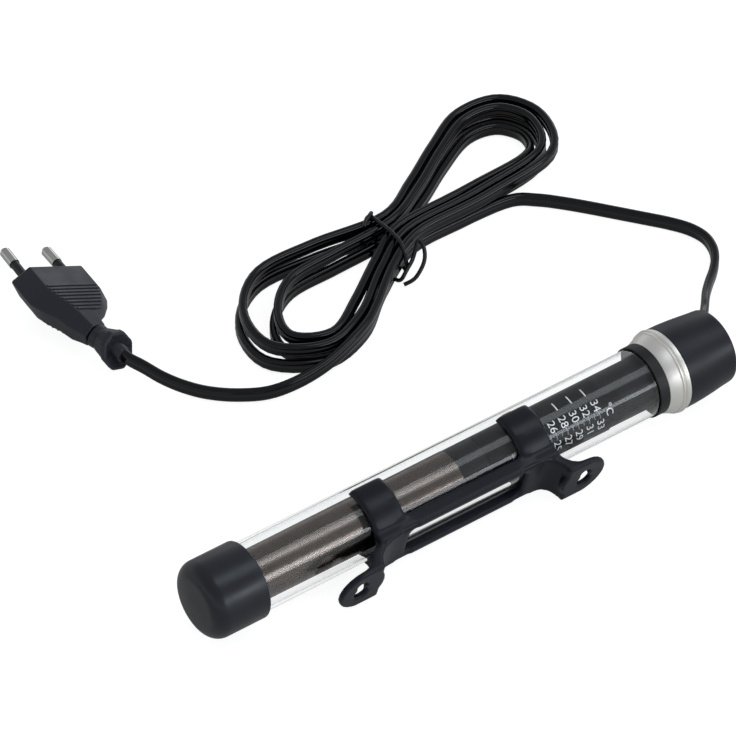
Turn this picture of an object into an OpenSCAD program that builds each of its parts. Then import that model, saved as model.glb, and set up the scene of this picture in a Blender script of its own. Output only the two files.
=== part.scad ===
// Submersible aquarium heater: a glass tube with a heating core and an adjustable thermostat,
// a clip-on wall bracket, and a flat mains cord tied in a hank, with its two-pin plug.
// The heater lies along X with its top cap at +X; Z is up and the floor is Z = 0.

/* [Glass tube] */
// Outer diameter of the glass
glass_d = 25; // [22:0.5:28]
// Thickness of the glass
glass_wall = 1.2; // [0.9:0.1:1.5]
// Length of the glass tube
glass_l = 195; // [190:1:200]

/* [Bottom cap] */
// Thickness of the rubber round the glass
bottom_wall = 1.45; // [1:0.05:2]
// Length of the cap
bottom_l = 21.6; // [18:0.1:24]
// Thickness of the rubber under the glass
bottom_end = 5.5; // [3:0.1:6]
// Rounding of the closed end
bottom_round = 5.5; // [3:0.5:6]

/* [Heating core] */
// Outer diameter of the metal sleeve
sleeve_d = 18.2; // [17:0.1:19]
// Thickness of the metal sleeve
sleeve_wall = 0.5; // [0.3:0.1:0.7]
// Diameter of the ceramic rod
core_d = 10; // [8:0.5:11]
// Diameter of the resistance wire
coil_wire_d = 1.1; // [0.8:0.1:1.3]
// Turns of the resistance wire
coil_turns = 14; // [8:1:16]
// Thickness of the mica washers
washer_t = 2; // [1:0.5:3]

/* [Thermostat] */
// Length of the thermostat between the metal sleeve and the stopper
thermostat_l = 80.75; // [78:0.25:84]
// Outer diameter of the black carrier
carrier_d = 18; // [17:0.1:18.2]
// Wall of the carrier
carrier_wall = 1.8; // [1.2:0.1:2]
// Distance of the setting screw from the tube's axis
screw_offset = 4.8; // [4.6:0.1:5]
// Diameter of the setting screw
screw_d = 2.8; // [2:0.2:3]
// Width of the pointer ring
pointer_w = 3; // [2:0.5:4]
// Thickness of the pointer ring
pointer_t = 0.9; // [0.6:0.1:1.1]
// Travel of the pointer from rest towards the bottom cap
pointer_down = 15; // [10:1:15]
// Travel of the pointer from rest towards the top cap
pointer_up = 30; // [20:1:30]

/* [Scale card] */
// Length of the card's straight part
card_l = 50; // [45:1:54]
// Thickness of the card
card_t = 0.3; // [0.2:0.05:0.4]
// Angle that the card wraps
card_span = 174; // [150:2:190]
// Radius of the arched end
card_arch_r = 6.8; // [6:0.2:8.4]
// Direction that the card faces, up from the level
card_angle = 25; // [15:1:35]

/* [Collar and top cap] */
// Height of the black seal ring
seal_l = 4; // [3:0.5:5]
// Thickness of the seal ring
seal_wall = 0.55; // [0.4:0.05:1]
// Length of the aluminium collar
collar_l = 7.6; // [6.5:0.1:9]
// Diameter of the collar's flange
flange_d = 31.1; // [30.8:0.1:33]
// Width of the flange's rim
flange_w = 1.8; // [1.2:0.1:2.2]
// Length of the top cap
top_l = 21.8; // [20:0.2:24]
// Diameter of the top cap at the flange
top_d = 30.4; // [29.6:0.1:32.4]
// Diameter of the top cap at its far end
top_end_d = 27.4; // [26:0.2:28.6]
// Thickness of the top cap's end wall
top_end_wall = 5.5; // [5:0.5:6]
// Diameter of the setting knob
knob_d = 9.2; // [8:0.2:9.4]
// Thickness of the setting knob
knob_t = 2.4; // [2:0.2:3]

/* [Bracket] */
// Distance of the bracket's middle from the closed end
bracket_s = 101.7; // [99:0.1:105]
// Thickness of the clip rings
ring_wall = 1.8; // [1.4:0.1:2.2]
// Width of each clip ring along the tube
ring_w = 13.3; // [10:0.1:15]
// Clear length between the two rings
ring_gap = 48; // [40:1:52]
// Half the angle that a clip ring wraps
ring_wrap = 116; // [105:1:125]
// Width of the bracket's front and rails
front_w = 19.4; // [17:0.2:20]
// Distance of the front's face from the tube's axis
front_h = 14.6; // [14.4:0.1:16]
// Width of each rail
rail_w = 3.2; // [2.4:0.1:4]
// Distance of the ears' outer face from the tube's axis
ear_h = 22.5; // [20:0.1:22.6]
// Width of the ears
ear_w = 18.2; // [16:0.2:18.4]
// Thickness of the ears
ear_t = 2.2; // [1.6:0.1:3]
// Mean reach of the ears past their rings
ear_l = 17.9; // [16:0.1:20]
// How far the pair of ears sits towards the closed end
ear_shift = 2.4; // [0:0.1:3]
// Radius of the keyhole's seat
seat_r = 1.9; // [1.6:0.1:2]
// Radius of the keyhole's entry
entry_r = 2.6; // [2.4:0.1:2.8]
// How far the bracket is turned down from the level
bracket_tilt = 16.3; // [10:0.1:17]

/* [Cord] */
// Width of the flat cord
cord_w = 5.4; // [4.8:0.1:5.6]
// Thickness of the flat cord
cord_t = 3.1; // [2.8:0.1:3.1]
// Length of the strain relief outside the cap
grommet_l = 17; // [14:1:17]
// Diameter of the strain relief at the cap
grommet_d = 6.8; // [6.4:0.1:7]

/* [Tie] */
// Width of the tie
tie_w = 2; // [1.6:0.2:3]
// Thickness of the tie
tie_t = 0.9; // [0.6:0.1:1]

/* [Plug] */
// Width of the plug's body
plug_w = 33; // [32:0.5:35.5]
// Width of the plug's flat faces
plug_flat_w = 22; // [18:0.5:24]
// Thickness of the plug's body
plug_t = 12.5; // [11.5:0.1:14]
// Length of the plug's straight part
plug_l = 14.5; // [13:0.5:18]
// Length of the plug's tapered part
plug_taper_l = 20; // [17:0.5:21]
// Distance between the pins where they leave the body
pin_pitch = 18.6; // [18:0.1:18.6]
// Diameter of the pins
pin_d = 4; // [3.94:0.01:4.06]
// Length of the pins in front of the body
pin_l = 19; // [18.5:0.5:19.5]
// Length of the insulating sleeves
pin_sleeve_l = 10; // [9.5:0.5:10.5]

/* [Hidden] */
$fn = 72;

// Clearances
run_gap = 0.03;      // bracket on the glass
slip_gap = 0.05;     // pieces slipped into each other
eps = 0.01;          // overlap of cutting tools

glass_r = glass_d / 2;
bore_r = glass_r - glass_wall;
bottom_r = glass_r + slip_gap + bottom_wall;
sleeve_r = sleeve_d / 2;
sleeve_bore = sleeve_r - sleeve_wall;
carrier_r = carrier_d / 2;
carrier_bore = carrier_r - carrier_wall;
flange_r = flange_d / 2;

// Stations along the tube, measured from the end of the bottom cap
glass_s = bottom_end + slip_gap;
glass_end_s = glass_s + glass_l;
inside_s = glass_s + glass_wall;
cushion_t = 13;
sleeve_s = inside_s + cushion_t + slip_gap;
stopper_l = 19;
stopper_in = 15;                                   // part of the stopper inside the glass
stopper_s = glass_end_s - stopper_in;
sleeve_end_s = stopper_s - thermostat_l;
sleeve_l = sleeve_end_s - sleeve_s;
core_s = sleeve_s + washer_t + slip_gap;
carrier_foot = 4;                                  // the carrier's plug inside the sleeve
carrier_s = sleeve_end_s - carrier_foot;
core_l = carrier_s - slip_gap - washer_t - slip_gap - core_s;
carrier_l = stopper_s - slip_gap - carrier_s;
seal_s = stopper_s;
collar_s = seal_s + seal_l;
top_s = collar_s + collar_l;
overall_l = top_s + top_l;
card_start = 11;
card_s = sleeve_end_s + card_start;
rest_start = 18;
rest_s = card_s + rest_start;                      // pointer at rest

// The tube's axis: the flange stands on the floor and the part's box is centred on Y
ear_out = ear_h * cos(bracket_tilt) + ear_w / 2 * sin(bracket_tilt);
axis_z = flange_r;
axis_y = (ear_out - flange_r) / 2;

// ---------------------------------------------------------------- helpers

// Puts a piece that is modelled along the tube's axis at station s
module at(s) {
    translate([s - overall_l / 2, axis_y, axis_z])
        children();
}

// A turned piece whose profile is [radius, distance along the tube]
module turned(s, profile) {
    at(s) rotate([0, 90, 0]) rotate_extrude() polygon(profile);
}

// A rod or a bore along the tube, off its axis by [y, z]
module rod(s, l, r, off = [0, 0]) {
    at(s) translate([0, off[0], off[1]]) rotate([0, 90, 0]) cylinder(h = l, r = r);
}

// A box along the tube, from the lower to the upper corner of [y, z]
module bar(s, l, low, high) {
    at(s) translate([0, low[0], low[1]]) cube([l, high[0] - low[0], high[1] - low[1]]);
}

function arc(centre, r, from, to, steps = 8) =
    [for (i = [0:steps]) centre + r * [cos(from + (to - from) * i / steps), sin(from + (to - from) * i / steps)]];

function unit(v) = v / norm(v);
function level(v) = unit([-v[1], v[0], 0]);        // sideways, level with the floor
function heading(path, i) =
    unit(path[min(i + 1, len(path) - 1)] - path[max(i - 1, 0)]);

// Points of one ring of a tube: a is the half thickness, b the half height
function ring_at(p, t, a, b, sides) =
    let (side = level(t), up = cross(t, side))
    [for (k = [0:sides - 1]) let (ang = 360 * (k + 0.5) / sides) p + side * a * cos(ang) + up * b * sin(ang)];

// A tube with flat ends swept along a list of points
module sweep(path, a, b, sides, first = [0, 0, 0], last = [0, 0, 0]) {
    n = len(path);
    rings = [for (i = [0:n - 1])
        let (t = (i == 0 && norm(first) > 0) ? unit(first)
               : (i == n - 1 && norm(last) > 0) ? unit(last) : heading(path, i))
        ring_at(path[i], t, a, b, sides)];
    points = [for (r = rings) for (p = r) p];
    walls = [for (i = [0:n - 2]) for (k = [0:sides - 1])
        let (k2 = (k + 1) % sides, p = i * sides, q = p + sides)
        for (f = [[p + k, q + k, p + k2], [p + k2, q + k, q + k2]]) f];
    near = [for (k = [1:sides - 2]) [0, k, k + 1]];
    far = [for (k = [1:sides - 2]) let (q = (n - 1) * sides) [q, q + k + 1, q + k]];
    polyhedron(points = points, faces = concat(walls, near, far));
}

// Least distance between two passes of a path, at points that are not neighbours along it
function least_pass(path, apart) =
    min([for (i = [0:len(path) - 1]) for (j = [i + apart:1:len(path) - 1]) norm(path[i] - path[j])]);

// ---------------------------------------------------------------- tube and bottom

// Closed glass tube with a rounded bottom
module glass_tube() {
    color("lightcyan", 0.4)
    turned(glass_s, concat(
        [[0, 0]], arc([glass_r - 4, 4], 4, -90, 0), [[glass_r, glass_l], [bore_r, glass_l]],
        arc([bore_r - 3, 4], 3, 0, -90), [[0, 1]]));
}

// Rubber cap over the closed end, with a slightly domed face
module bottom_cap() {
    face_dome = 0.5;
    rim_round = 0.7;
    color("#1b1c20")
    turned(0, concat(
        [[0, 0], [(bottom_r - bottom_round) / 2, face_dome / 4]],
        arc([bottom_r - bottom_round, bottom_round + face_dome], bottom_round, -90, 0),
        arc([bottom_r - rim_round, bottom_l - rim_round], rim_round, 0, 90, 4),
        [[glass_r + slip_gap, bottom_l]],
        arc([glass_r + slip_gap - 4, bottom_end + 4], 4, 0, -90), [[0, bottom_end]]));
}

// Soft pad that carries the core in the tube
module bottom_cushion() {
    color("dimgray")
    turned(inside_s + slip_gap, concat(
        [[0, 0]], arc([bore_r - slip_gap - 3.2, 3.2], 3.2, -90, 0),
        [[bore_r - slip_gap, cushion_t - 6], [sleeve_bore, cushion_t - 0.05], [0, cushion_t - 0.05]]));
}

// ---------------------------------------------------------------- heating core

module heat_sleeve() {
    lip = 0.6;
    color("#6d6562")
    turned(sleeve_s, [[sleeve_bore - lip, 0], [sleeve_r - 0.2, 0], [sleeve_r, 0.4], [sleeve_r, sleeve_l],
                      [sleeve_bore, sleeve_l], [sleeve_bore, 0.5], [sleeve_bore - lip, 0.5]]);
}

module core_washers() {
    washer_r = sleeve_bore - slip_gap;
    color("wheat") {
        rod(sleeve_s + 0.5 + slip_gap, washer_t - 0.5, washer_r);
        difference() {
            rod(core_s + core_l + slip_gap, washer_t, washer_r);
            for (z = [-wire_z, wire_z])
                rod(core_s + core_l + slip_gap - eps, washer_t + 2 * eps, wire_r + 0.1, [wire_y, z]);
        }
    }
}

module ceramic_core() {
    chamfer = 0.6;
    core_r = core_d / 2;
    color("ivory")
    turned(core_s, [[0, 0], [core_r - chamfer, 0], [core_r, chamfer], [core_r, core_l - chamfer],
                    [core_r - chamfer, core_l], [0, core_l]]);
}

// Resistance wire wound on the ceramic rod, as one unbroken tube
coil_lift = 0.35;                // the turns stand clear of the rod between their rings
coil_r = core_d / 2 + coil_wire_d / 2 + coil_lift;
coil_l = core_l - 8;
coil_pitch = coil_l / coil_turns;
coil_rings = 12;
module heating_coil() {
    path = [for (i = [0:coil_turns * coil_rings])
        let (turn = i / coil_rings)
        [core_s + 4 + turn * coil_pitch - overall_l / 2,
         axis_y + coil_r * cos(360 * turn), axis_z + coil_r * sin(360 * turn)]];
    echo(coil_least_gap = coil_pitch - coil_wire_d);
    color("#8a7f78") helix_tube(path);
}

// A helix round X needs rings that turn with it
module helix_tube(path) {
    sides = 6;
    n = len(path);
    r = coil_wire_d / 2;
    points = [for (i = [0:n - 1])
        let (out = unit([0, path[i][1] - axis_y, path[i][2] - axis_z]), t = unit([coil_pitch / (2 * PI * coil_r),
             -out[2], out[1]]), side = cross(t, out))
        for (k = [0:sides - 1]) path[i] + r * (out * cos(60 * k) + side * sin(60 * k))];
    walls = [for (i = [0:n - 2]) for (k = [0:sides - 1])
        let (k2 = (k + 1) % sides, p = i * sides, q = p + sides)
        for (f = [[p + k, p + k2, q + k], [p + k2, q + k2, q + k]]) f];
    near = [for (k = [1:sides - 2]) [0, k + 1, k]];
    far = [for (k = [1:sides - 2]) let (q = (n - 1) * sides) [q, q + k, q + k + 1]];
    polyhedron(points = points, faces = concat(walls, near, far));
}

// ---------------------------------------------------------------- thermostat

screw_r = screw_d / 2;
screw_at = [-screw_offset, 0];
wire_r = 0.7;
wire_y = 3.2;
wire_z = 4.6;
strip_z = 3;                     // distance of the two contact strips from the axis
strip_t = 0.5;
strip_low = -1.4;
strip_high = 2.4;
head_l = 8;                      // solid head at the carrier's upper end
head_s = carrier_s + carrier_l - head_l;
slot_w = 2.2;                    // slot for the pointer's stem
stem_t = 1.6;
window_s = rest_s - pointer_down - 2.5;
window_l = pointer_down + pointer_up + 5;

// Black carrier behind the scale: a tube with a slot along its back and a solid head
module thermostat_carrier() {
    floor_t = 2;
    foot_r = sleeve_bore - slip_gap;
    color("#202125")
    difference() {
        union() {
            rod(carrier_s, carrier_foot + slip_gap + eps, foot_r);
            rod(sleeve_end_s + slip_gap, carrier_l - carrier_foot - slip_gap, carrier_r);
        }
        rod(carrier_s + floor_t, carrier_l - floor_t - head_l, carrier_bore);
        bar(window_s, window_l, [0, -slot_w / 2], [carrier_r + 1, slot_w / 2]);
        rod(head_s - eps, head_l + 2 * eps, screw_r + 0.1, screw_at);
        for (z = [-wire_z, wire_z]) {
            rod(carrier_s - eps, floor_t + 2 * eps, wire_r + 0.1, [wire_y, z]);
            rod(head_s - eps, head_l + 2 * eps, wire_r + 0.1, [wire_y, z]);
        }
        for (z = [-strip_z, strip_z])
            bar(head_s - eps, strip_root + slip_gap, [strip_low - slip_gap, z - strip_t / 2 - slip_gap],
                [strip_high + slip_gap, z + strip_t / 2 + slip_gap]);
    }
}

// Curved printed card on the carrier, with an arched top end: what a wedge and an arch cut from a shell
module scale_card() {
    inner = carrier_r + slip_gap;
    card_r = inner + card_t;
    reach = card_r * 1.5;
    half = card_span / 2;
    color("#16171b")
    at(card_s) rotate([-card_angle, 0, 0]) intersection() {
        rotate([0, 90, 0]) difference() {
            cylinder(h = card_l + card_arch_r, r = card_r);
            translate([0, 0, -1]) cylinder(h = card_l + card_arch_r + 2, r = inner);
        }
        union() {
            translate([-eps, 0, 0]) rotate([0, 90, 0]) linear_extrude(card_l + eps)
                polygon(concat([[0, 0]], [for (i = [-3:3]) -reach * [sin(half * i / 3), cos(half * i / 3)]]));
            translate([card_l, 0, 0]) rotate([90, 0, 0]) cylinder(h = reach, r = card_arch_r);
        }
    }
}

// Pointer ring round the card, with a stem through the slot to a nut on the screw
module setting_pointer() {
    ring_in = carrier_r + slip_gap + card_t + 0.2;
    ring_out = ring_in + pointer_t;
    nut = 1.9;
    s = rest_s - pointer_w / 2;
    color("#c8452c")
    difference() {
        union() {
            difference() {
                rod(s, pointer_w, ring_out);
                rod(s - eps, pointer_w + 2 * eps, ring_in);
            }
            bar(s, pointer_w, [-screw_offset - nut, -nut], [-screw_offset + nut, nut]);
            bar(s, pointer_w, [-screw_offset, -stem_t / 2], [ring_in + 0.3, stem_t / 2]);
        }
        rod(s - eps, pointer_w + 2 * eps, screw_r + 0.08, screw_at);
    }
}

// Setting screw from the knob down through the nut
module setting_screw() {
    tip_s = window_s - 2;
    color("goldenrod")
    rod(tip_s, knob_s - tip_s, screw_r, screw_at);
}

// Round dial let into the end of the top cap, with a grip slot
knob_s = overall_l - knob_t;
module setting_knob() {
    slot_deep = 1;
    grip_w = 1.4;
    color("#2a2b30")
    difference() {
        rod(knob_s, knob_t, knob_d / 2, screw_at);
        bar(overall_l - slot_deep, slot_deep + eps, [-screw_offset - knob_d, -grip_w / 2],
            [-screw_offset + knob_d, grip_w / 2]);
    }
}

// Rubber ring that seals the screw where it passes the stopper
seal_ring_l = 1.6;
module knob_seal() {
    s = stopper_s + stopper_l + slip_gap;
    color("black")
    difference() {
        rod(s, seal_ring_l, screw_r + 1.6, screw_at);
        rod(s - eps, seal_ring_l + 2 * eps, screw_r + slip_gap, screw_at);
    }
}

strip_root = 5;                  // length of a strip held in the carrier's head
strip_end_s = carrier_s + 4.5;
module bimetal_strip() {
    color("#b08d57")
    bar(strip_end_s, head_s + strip_root - strip_end_s - slip_gap, [strip_low, strip_z - strip_t / 2],
        [strip_high, strip_z + strip_t / 2]);
}

module fixed_contact() {
    color("#b9b2a0")
    bar(strip_end_s, head_s + strip_root - strip_end_s - slip_gap, [strip_low, -strip_z - strip_t / 2],
        [strip_high, -strip_z + strip_t / 2]);
}

contact_s = strip_end_s + 1.8;
module contact_points() {
    contact_r = 1.1;
    open_gap = 0.3;
    reach = strip_z - strip_t / 2 - open_gap / 2 - 0.01;
    color("silver")
    for (side = [-1, 1])
        at(contact_s) translate([0, 0.5, side > 0 ? open_gap / 2 : -open_gap / 2 - reach])
            cylinder(h = reach, r = contact_r);
}

module contact_magnet() {
    color("#55565a")
    bar(contact_s + 2, 4, [strip_low + 0.3, -strip_z + strip_t / 2 + 0.02], [strip_high - 0.3, -strip_z + 1.6]);
}

// Two insulated wires from the core to the stopper
module lead_wires() {
    color("whitesmoke")
    for (z = [-wire_z, wire_z])
        rod(core_s + core_l + slip_gap + 0.5, stopper_s + stopper_l - core_s - core_l + 1, wire_r, [wire_y, z]);
}

// ---------------------------------------------------------------- upper end

module tube_stopper() {
    head_r = bore_r - 1.2;
    color("#17181b")
    difference() {
        union() {
            rod(stopper_s, glass_end_s - stopper_s, bore_r - slip_gap);
            rod(glass_end_s - eps, stopper_s + stopper_l - glass_end_s + eps, head_r);
        }
        rod(stopper_s - eps, stopper_l + 2 * eps, screw_r + 0.1, screw_at);
        for (z = [-wire_z, wire_z])
            rod(stopper_s - eps, stopper_l + 2 * eps, wire_r + 0.1, [wire_y, z]);
    }
}

module seal_ring() {
    inner = glass_r + slip_gap;
    round_r = 0.25;
    color("black")
    turned(seal_s, concat([[inner, 0]], arc([inner + seal_wall - round_r, round_r], round_r, -90, 0, 4),
                          [[inner + seal_wall, seal_l], [inner, seal_l]]));
}

// Aluminium collar: a cone that opens to a rounded flange
module collar() {
    inner = glass_r + slip_gap;
    front_r = inner + seal_wall;
    rim_r = flange_w / 2;
    cone_l = collar_l - flange_w - 1;
    color("#c9ccd0")
    turned(collar_s, concat([[inner, 0], [front_r, 0], [front_r + 0.2, 0.3], [front_r + 1.1, cone_l * 0.55],
                             [flange_r - 0.7, cone_l]],
                            arc([flange_r - rim_r, cone_l + rim_r], rim_r, -60, 90, 8),
                            [[top_d / 2, cone_l + flange_w], [top_d / 2, collar_l], [inner, collar_l]]));
}

// Direction and place of the cord's strain relief on the cap's end face
grommet_yaw = 44;
grommet_dip = 14;
grommet_y = 8.4;
grommet_z = -3;
grommet_in = 6;                  // part of the strain relief inside the cap
grommet_tip_d = 6.2;
grommet_root = [overall_l / 2, axis_y + grommet_y, axis_z + grommet_z];
grommet_dir = [cos(grommet_dip) * cos(grommet_yaw), cos(grommet_dip) * sin(grommet_yaw), -sin(grommet_dip)];

module grommet_shape(gap = 0) {
    translate(grommet_root) rotate([0, 90 + grommet_dip, grommet_yaw]) {
        translate([0, 0, -grommet_in - gap]) cylinder(h = grommet_in + gap + 2, d = grommet_d + 2 * gap);
        translate([0, 0, 2 - eps]) cylinder(h = grommet_l - 2 + eps, d1 = grommet_d + 2 * gap, d2 = grommet_tip_d);
    }
}

// Slightly barrelled black cap, open towards the tube
module top_cap() {
    inner = glass_r + slip_gap;
    seat_l = glass_end_s + 0.5 - top_s;
    cavity_r = bore_r - 1;
    cavity_end = top_l - top_end_wall;
    end_round = 1.4;
    mid_r = (top_d + top_end_d) / 4 + 0.45;
    color("#1c1d21")
    difference() {
        turned(top_s, concat([[inner, 0], [top_d / 2, 0], [top_d / 2 - 0.1, 5], [mid_r, top_l * 0.6],
                              [mid_r - 0.55, top_l * 0.8]],
                             arc([top_end_d / 2 - end_round, top_l - end_round], end_round, 10, 90, 6),
                             [[0, top_l], [0, cavity_end], [cavity_r, cavity_end], [cavity_r, seat_l],
                              [inner, seat_l]]));
        rod(top_s + cavity_end - eps, top_end_wall + 1, screw_r + 0.1, screw_at);
        rod(knob_s - slip_gap, knob_t + 1, knob_d / 2 + 0.15, screw_at);
        grommet_shape(slip_gap);
    }
}

module cord_grommet() {
    color("#141518") grommet_shape();
}

// ---------------------------------------------------------------- bracket

ring_r = glass_r + run_gap + ring_wall;
ring_bore = glass_r + run_gap;
ring_in_x = ring_gap / 2;
ring_out_x = ring_gap / 2 + ring_w;
front_half = front_w / 2;
ear_half = ear_w / 2;
corner_l = 16.7;                 // from an ear's tip to the corner of its neck
hole_l = 8.6;                    // from an ear's tip to its keyhole
seat_c = 2.2;
entry_c = -1.6;
neck_w = 2.5;
rib_t = 2;
plate_t = 2;
neck_foot = 3;                   // how far a neck reaches into the ring

// Each ear's tip and corner, away from the bracket's middle; side is -1 or 1
function tip_x(side) = ring_out_x + ear_l - side * ear_shift;
function corner_x(side) = tip_x(side) - corner_l;
function neck_from(side) = corner_x(side) - (side < 0 ? 12 : 6);

// Curve of a neck from the bracket's front out to the corner of the ear, moved in by some depth
function sweep_out(side, deep) =
    let (from = neck_from(side), run = corner_x(side) - from, rise = ear_h - front_h)
    [for (a = [0:15:90]) [from + run * sin(a) + deep * sin(a), front_h + rise * (1 - cos(a)) - deep * cos(a) * 0.9]];

function reversed(v) = [for (i = [len(v) - 1:-1:0]) v[i]];

// Side profile of a rib from the ring to its ear, as [along the tube, away from it]
function rib_profile(side) =
    let (corner = corner_x(side), back = ring_out_x - 0.5)
    concat([[ring_in_x + eps, ring_bore - neck_foot], [ring_in_x + eps, front_h - 0.4]],
           sweep_out(side, 0), [[corner + 9, ear_h], [corner + 9, ear_h - ear_t]],
           arc([corner + 8, front_h - 1.2], ear_h - ear_t - front_h + 1.2, 90, 160, 6),
           [[back, front_h - 1], [back, ring_bore - neck_foot]]);

function plate_profile(side) = concat(sweep_out(side, 0), [[corner_x(side) + 3, ear_h],
    [corner_x(side) + 3, ear_h - ear_t]], reversed(sweep_out(side, plate_t)));

module neck(side) {
    // two ribs and the curved plate between them
    for (c = [-ear_half, ear_half - rib_t])
        translate([0, 0, c]) linear_extrude(rib_t)
            mirror([side < 0 ? 1 : 0, 0]) mirror([0, 1]) polygon(rib_profile(side));
    translate([0, 0, -ear_half + eps]) linear_extrude(ear_w - 2 * eps)
        mirror([side < 0 ? 1 : 0, 0]) mirror([0, 1]) polygon(plate_profile(side));
}

module ear(side) {
    x = side * (tip_x(side) - ear_half);
    root = side * (corner_x(side) + 1);
    translate([x, -ear_h, 0]) rotate([-90, 0, 0]) cylinder(h = ear_t, r = ear_half);
    translate([min(x, root), -ear_h, -ear_half]) cube([abs(x - root), ear_t, ear_w]);
}

module keyhole(side) {
    cut = ear_t + 2;
    translate([side * (tip_x(side) - hole_l), -ear_h - 1, 0]) rotate([-90, 0, 0]) {
        translate([0, -seat_c, 0]) cylinder(h = cut, r = seat_r);
        translate([0, -entry_c, 0]) cylinder(h = cut, r = entry_r);
        translate([-neck_w / 2, -seat_c, 0]) cube([neck_w, seat_c - entry_c, cut]);
    }
}

module ring_arms(x) {
    mouth = 180 - ring_wrap;     // half the opening at the back
    mid_r = (ring_r + ring_bore) / 2;
    reach = ring_r * 2;
    translate([x, 0, 0]) rotate([0, 90, 0]) difference() {
        cylinder(h = ring_w, r = ring_r);
        translate([0, 0, -1]) linear_extrude(ring_w + 2)
            polygon([[0, 0], [reach * sin(mouth), reach * cos(mouth)], [0, reach * 1.5],
                     [-reach * sin(mouth), reach * cos(mouth)]]);
    }
    for (side = [-1, 1])
        translate([x, mid_r * cos(mouth), side * mid_r * sin(mouth)])
            rotate([0, 90, 0]) cylinder(h = ring_w, r = ring_wall / 2);
}

// Clip with two open rings, two rails and two keyhole ears, modelled with its front towards -Y
module bracket() {
    color("#22242a")
    at(bracket_s) rotate([bracket_tilt, 0, 0]) difference() {
        union() {
            for (side = [-1, 1]) {
                x = side > 0 ? ring_in_x : -ring_out_x;
                ring_arms(x);
                translate([x, -front_h, -front_half]) cube([ring_w, front_h - 8, front_w]);
                neck(side);
                ear(side);
            }
            for (c = [-front_half, front_half - rail_w])
                translate([-ring_in_x - eps, -front_h, c])
                    cube([ring_gap + 2 * eps, front_h - 8, rail_w]);
        }
        translate([-ring_out_x - 1, 0, 0]) rotate([0, 90, 0]) cylinder(h = 2 * ring_out_x + 2, r = ring_bore);
        translate([-ring_in_x, 0, 0]) rotate([0, 90, 0]) cylinder(h = ring_gap, r = ring_bore + 0.5);
        keyhole(1);
        keyhole(-1);
    }
}

// ---------------------------------------------------------------- cord

// Middle of the hank's waist, the direction of its right-hand lobe, and its layers
waist = [63, 126, 0];
hank_turn = 16.4;
layer_1 = cord_w / 2 + 0.1;
layer_2 = layer_1 + cord_w + 0.5;
waist_lift = tie_t + 0.4;        // the tie passes under the waist
hank_a = cord_t / 2;             // half thickness, across the run
hank_b = cord_w / 2;             // half width, upright
loops_from = -0.05;
loops_to = 4.06;
turn_back = 1.875;               // where the spiral reverses and the cord climbs
loop_rings = 24;

// Outermost and innermost loop, once round from the waist by the left and the right lobe
outer_loop = [[0, -8], [-26, -14], [-48, -23], [-69, -21], [-83, -2], [-74, 20], [-52, 30], [-26, 22],
              [0, 8], [22, 12.5], [44, 18.5], [65, 22.5], [82, 15], [84, -3], [68, -19], [35, -15]];
inner_loop = [[0, -0.5], [-18, -4], [-40, -11], [-57, -16], [-66, -8], [-59, 1], [-44, 7], [-24, 4],
              [0, 0.5], [22, 4.5], [43, 10.5], [62, 14], [73.5, 9], [74.5, -2], [63, -11], [34, -7]];

// A smooth closed curve through a list of points, u counts its points
function smooth_loop(p, u) =
    let (n = len(p), k = floor(u), f = u - k, at_k = function(i) p[((k + i) % n + n) % n],
         a = at_k(-1), b = at_k(0), c = at_k(1), d = at_k(2))
    b + f / 2 * ((c - a) + f * ((2 * a - 5 * b + 4 * c - d) + f * (3 * (b - c) + d - a)));

function inward(t) = t < turn_back ? (t + 2 - turn_back) / 2 : 1 - (t - turn_back) / 2;
function climb(t) = let (u = min(1, max(0, (t - turn_back + 0.11) / 0.2))) u * u * (3 - 2 * u);

// One point of the hank at turn t: t is whole where the lower strands cross the waist
function hank_local(t) =
    let (r = inward(t), u = t * len(outer_loop),
         p = smooth_loop(outer_loop, u) * (1 - r) + smooth_loop(inner_loop, u) * r)
    [p[0], p[1], layer_1 + (layer_2 - layer_1) * climb(t) + waist_lift * exp(-pow(p[0] / 16, 2))];

function on_floor(p) = waist + [p[0] * cos(hank_turn) - p[1] * sin(hank_turn),
                                p[0] * sin(hank_turn) + p[1] * cos(hank_turn), p[2]];

hank_path = [for (i = [0:(loops_to - loops_from) * loop_rings]) on_floor(hank_local(loops_from + i / loop_rings))];

// Route of the cord from the strain relief to the hank
lead_route = [[127.5, 30.5, 6.6], [132.5, 36, 5.2], [138, 41, 4], [143.5, 45.5, 3.2], [148.5, 50.5, 2.9],
              [152, 56, 2.8], [153.5, 62.5, 2.8], [152, 69.5, 2.8], [148, 76.5, 2.8], [142.5, 84, 2.8],
              [136.5, 92, 2.8], [130.5, 100, 2.8], [124.5, 107.5, 2.8], [118, 114.5, 2.8], [110, 120, 2.8]];
// Route of the cord from the hank to the plug
tail_route = [[32, 96, 8.6], [23, 90, 8.6], [12, 85.5, 8.2], [0.5, 83, 6.8], [-11, 83.5, 4.8],
              [-21.5, 86.5, 3.2], [-31, 92.5, 2.8], [-38.5, 99.5, 2.9], [-44, 106.5, 3.8], [-48, 113, 5.2],
              [-51, 119.5, 6.9]];

module cord_lead() {
    start = grommet_root + grommet_dir * grommet_l;
    end = hank_path[0];
    color("#121316")
    sweep(concat([start, start + grommet_dir * 4], lead_route, [end]), hank_a, hank_b, 8,
          grommet_dir, hank_path[1] - hank_path[0]);
}

module cord_hank() {
    n = len(hank_path);
    echo(hank_least_gap = least_pass(hank_path, 8) - cord_t);
    color("#121316")
    sweep(hank_path, hank_a, hank_b, 6, hank_path[1] - hank_path[0], hank_path[n - 1] - hank_path[n - 2]);
}

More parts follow.
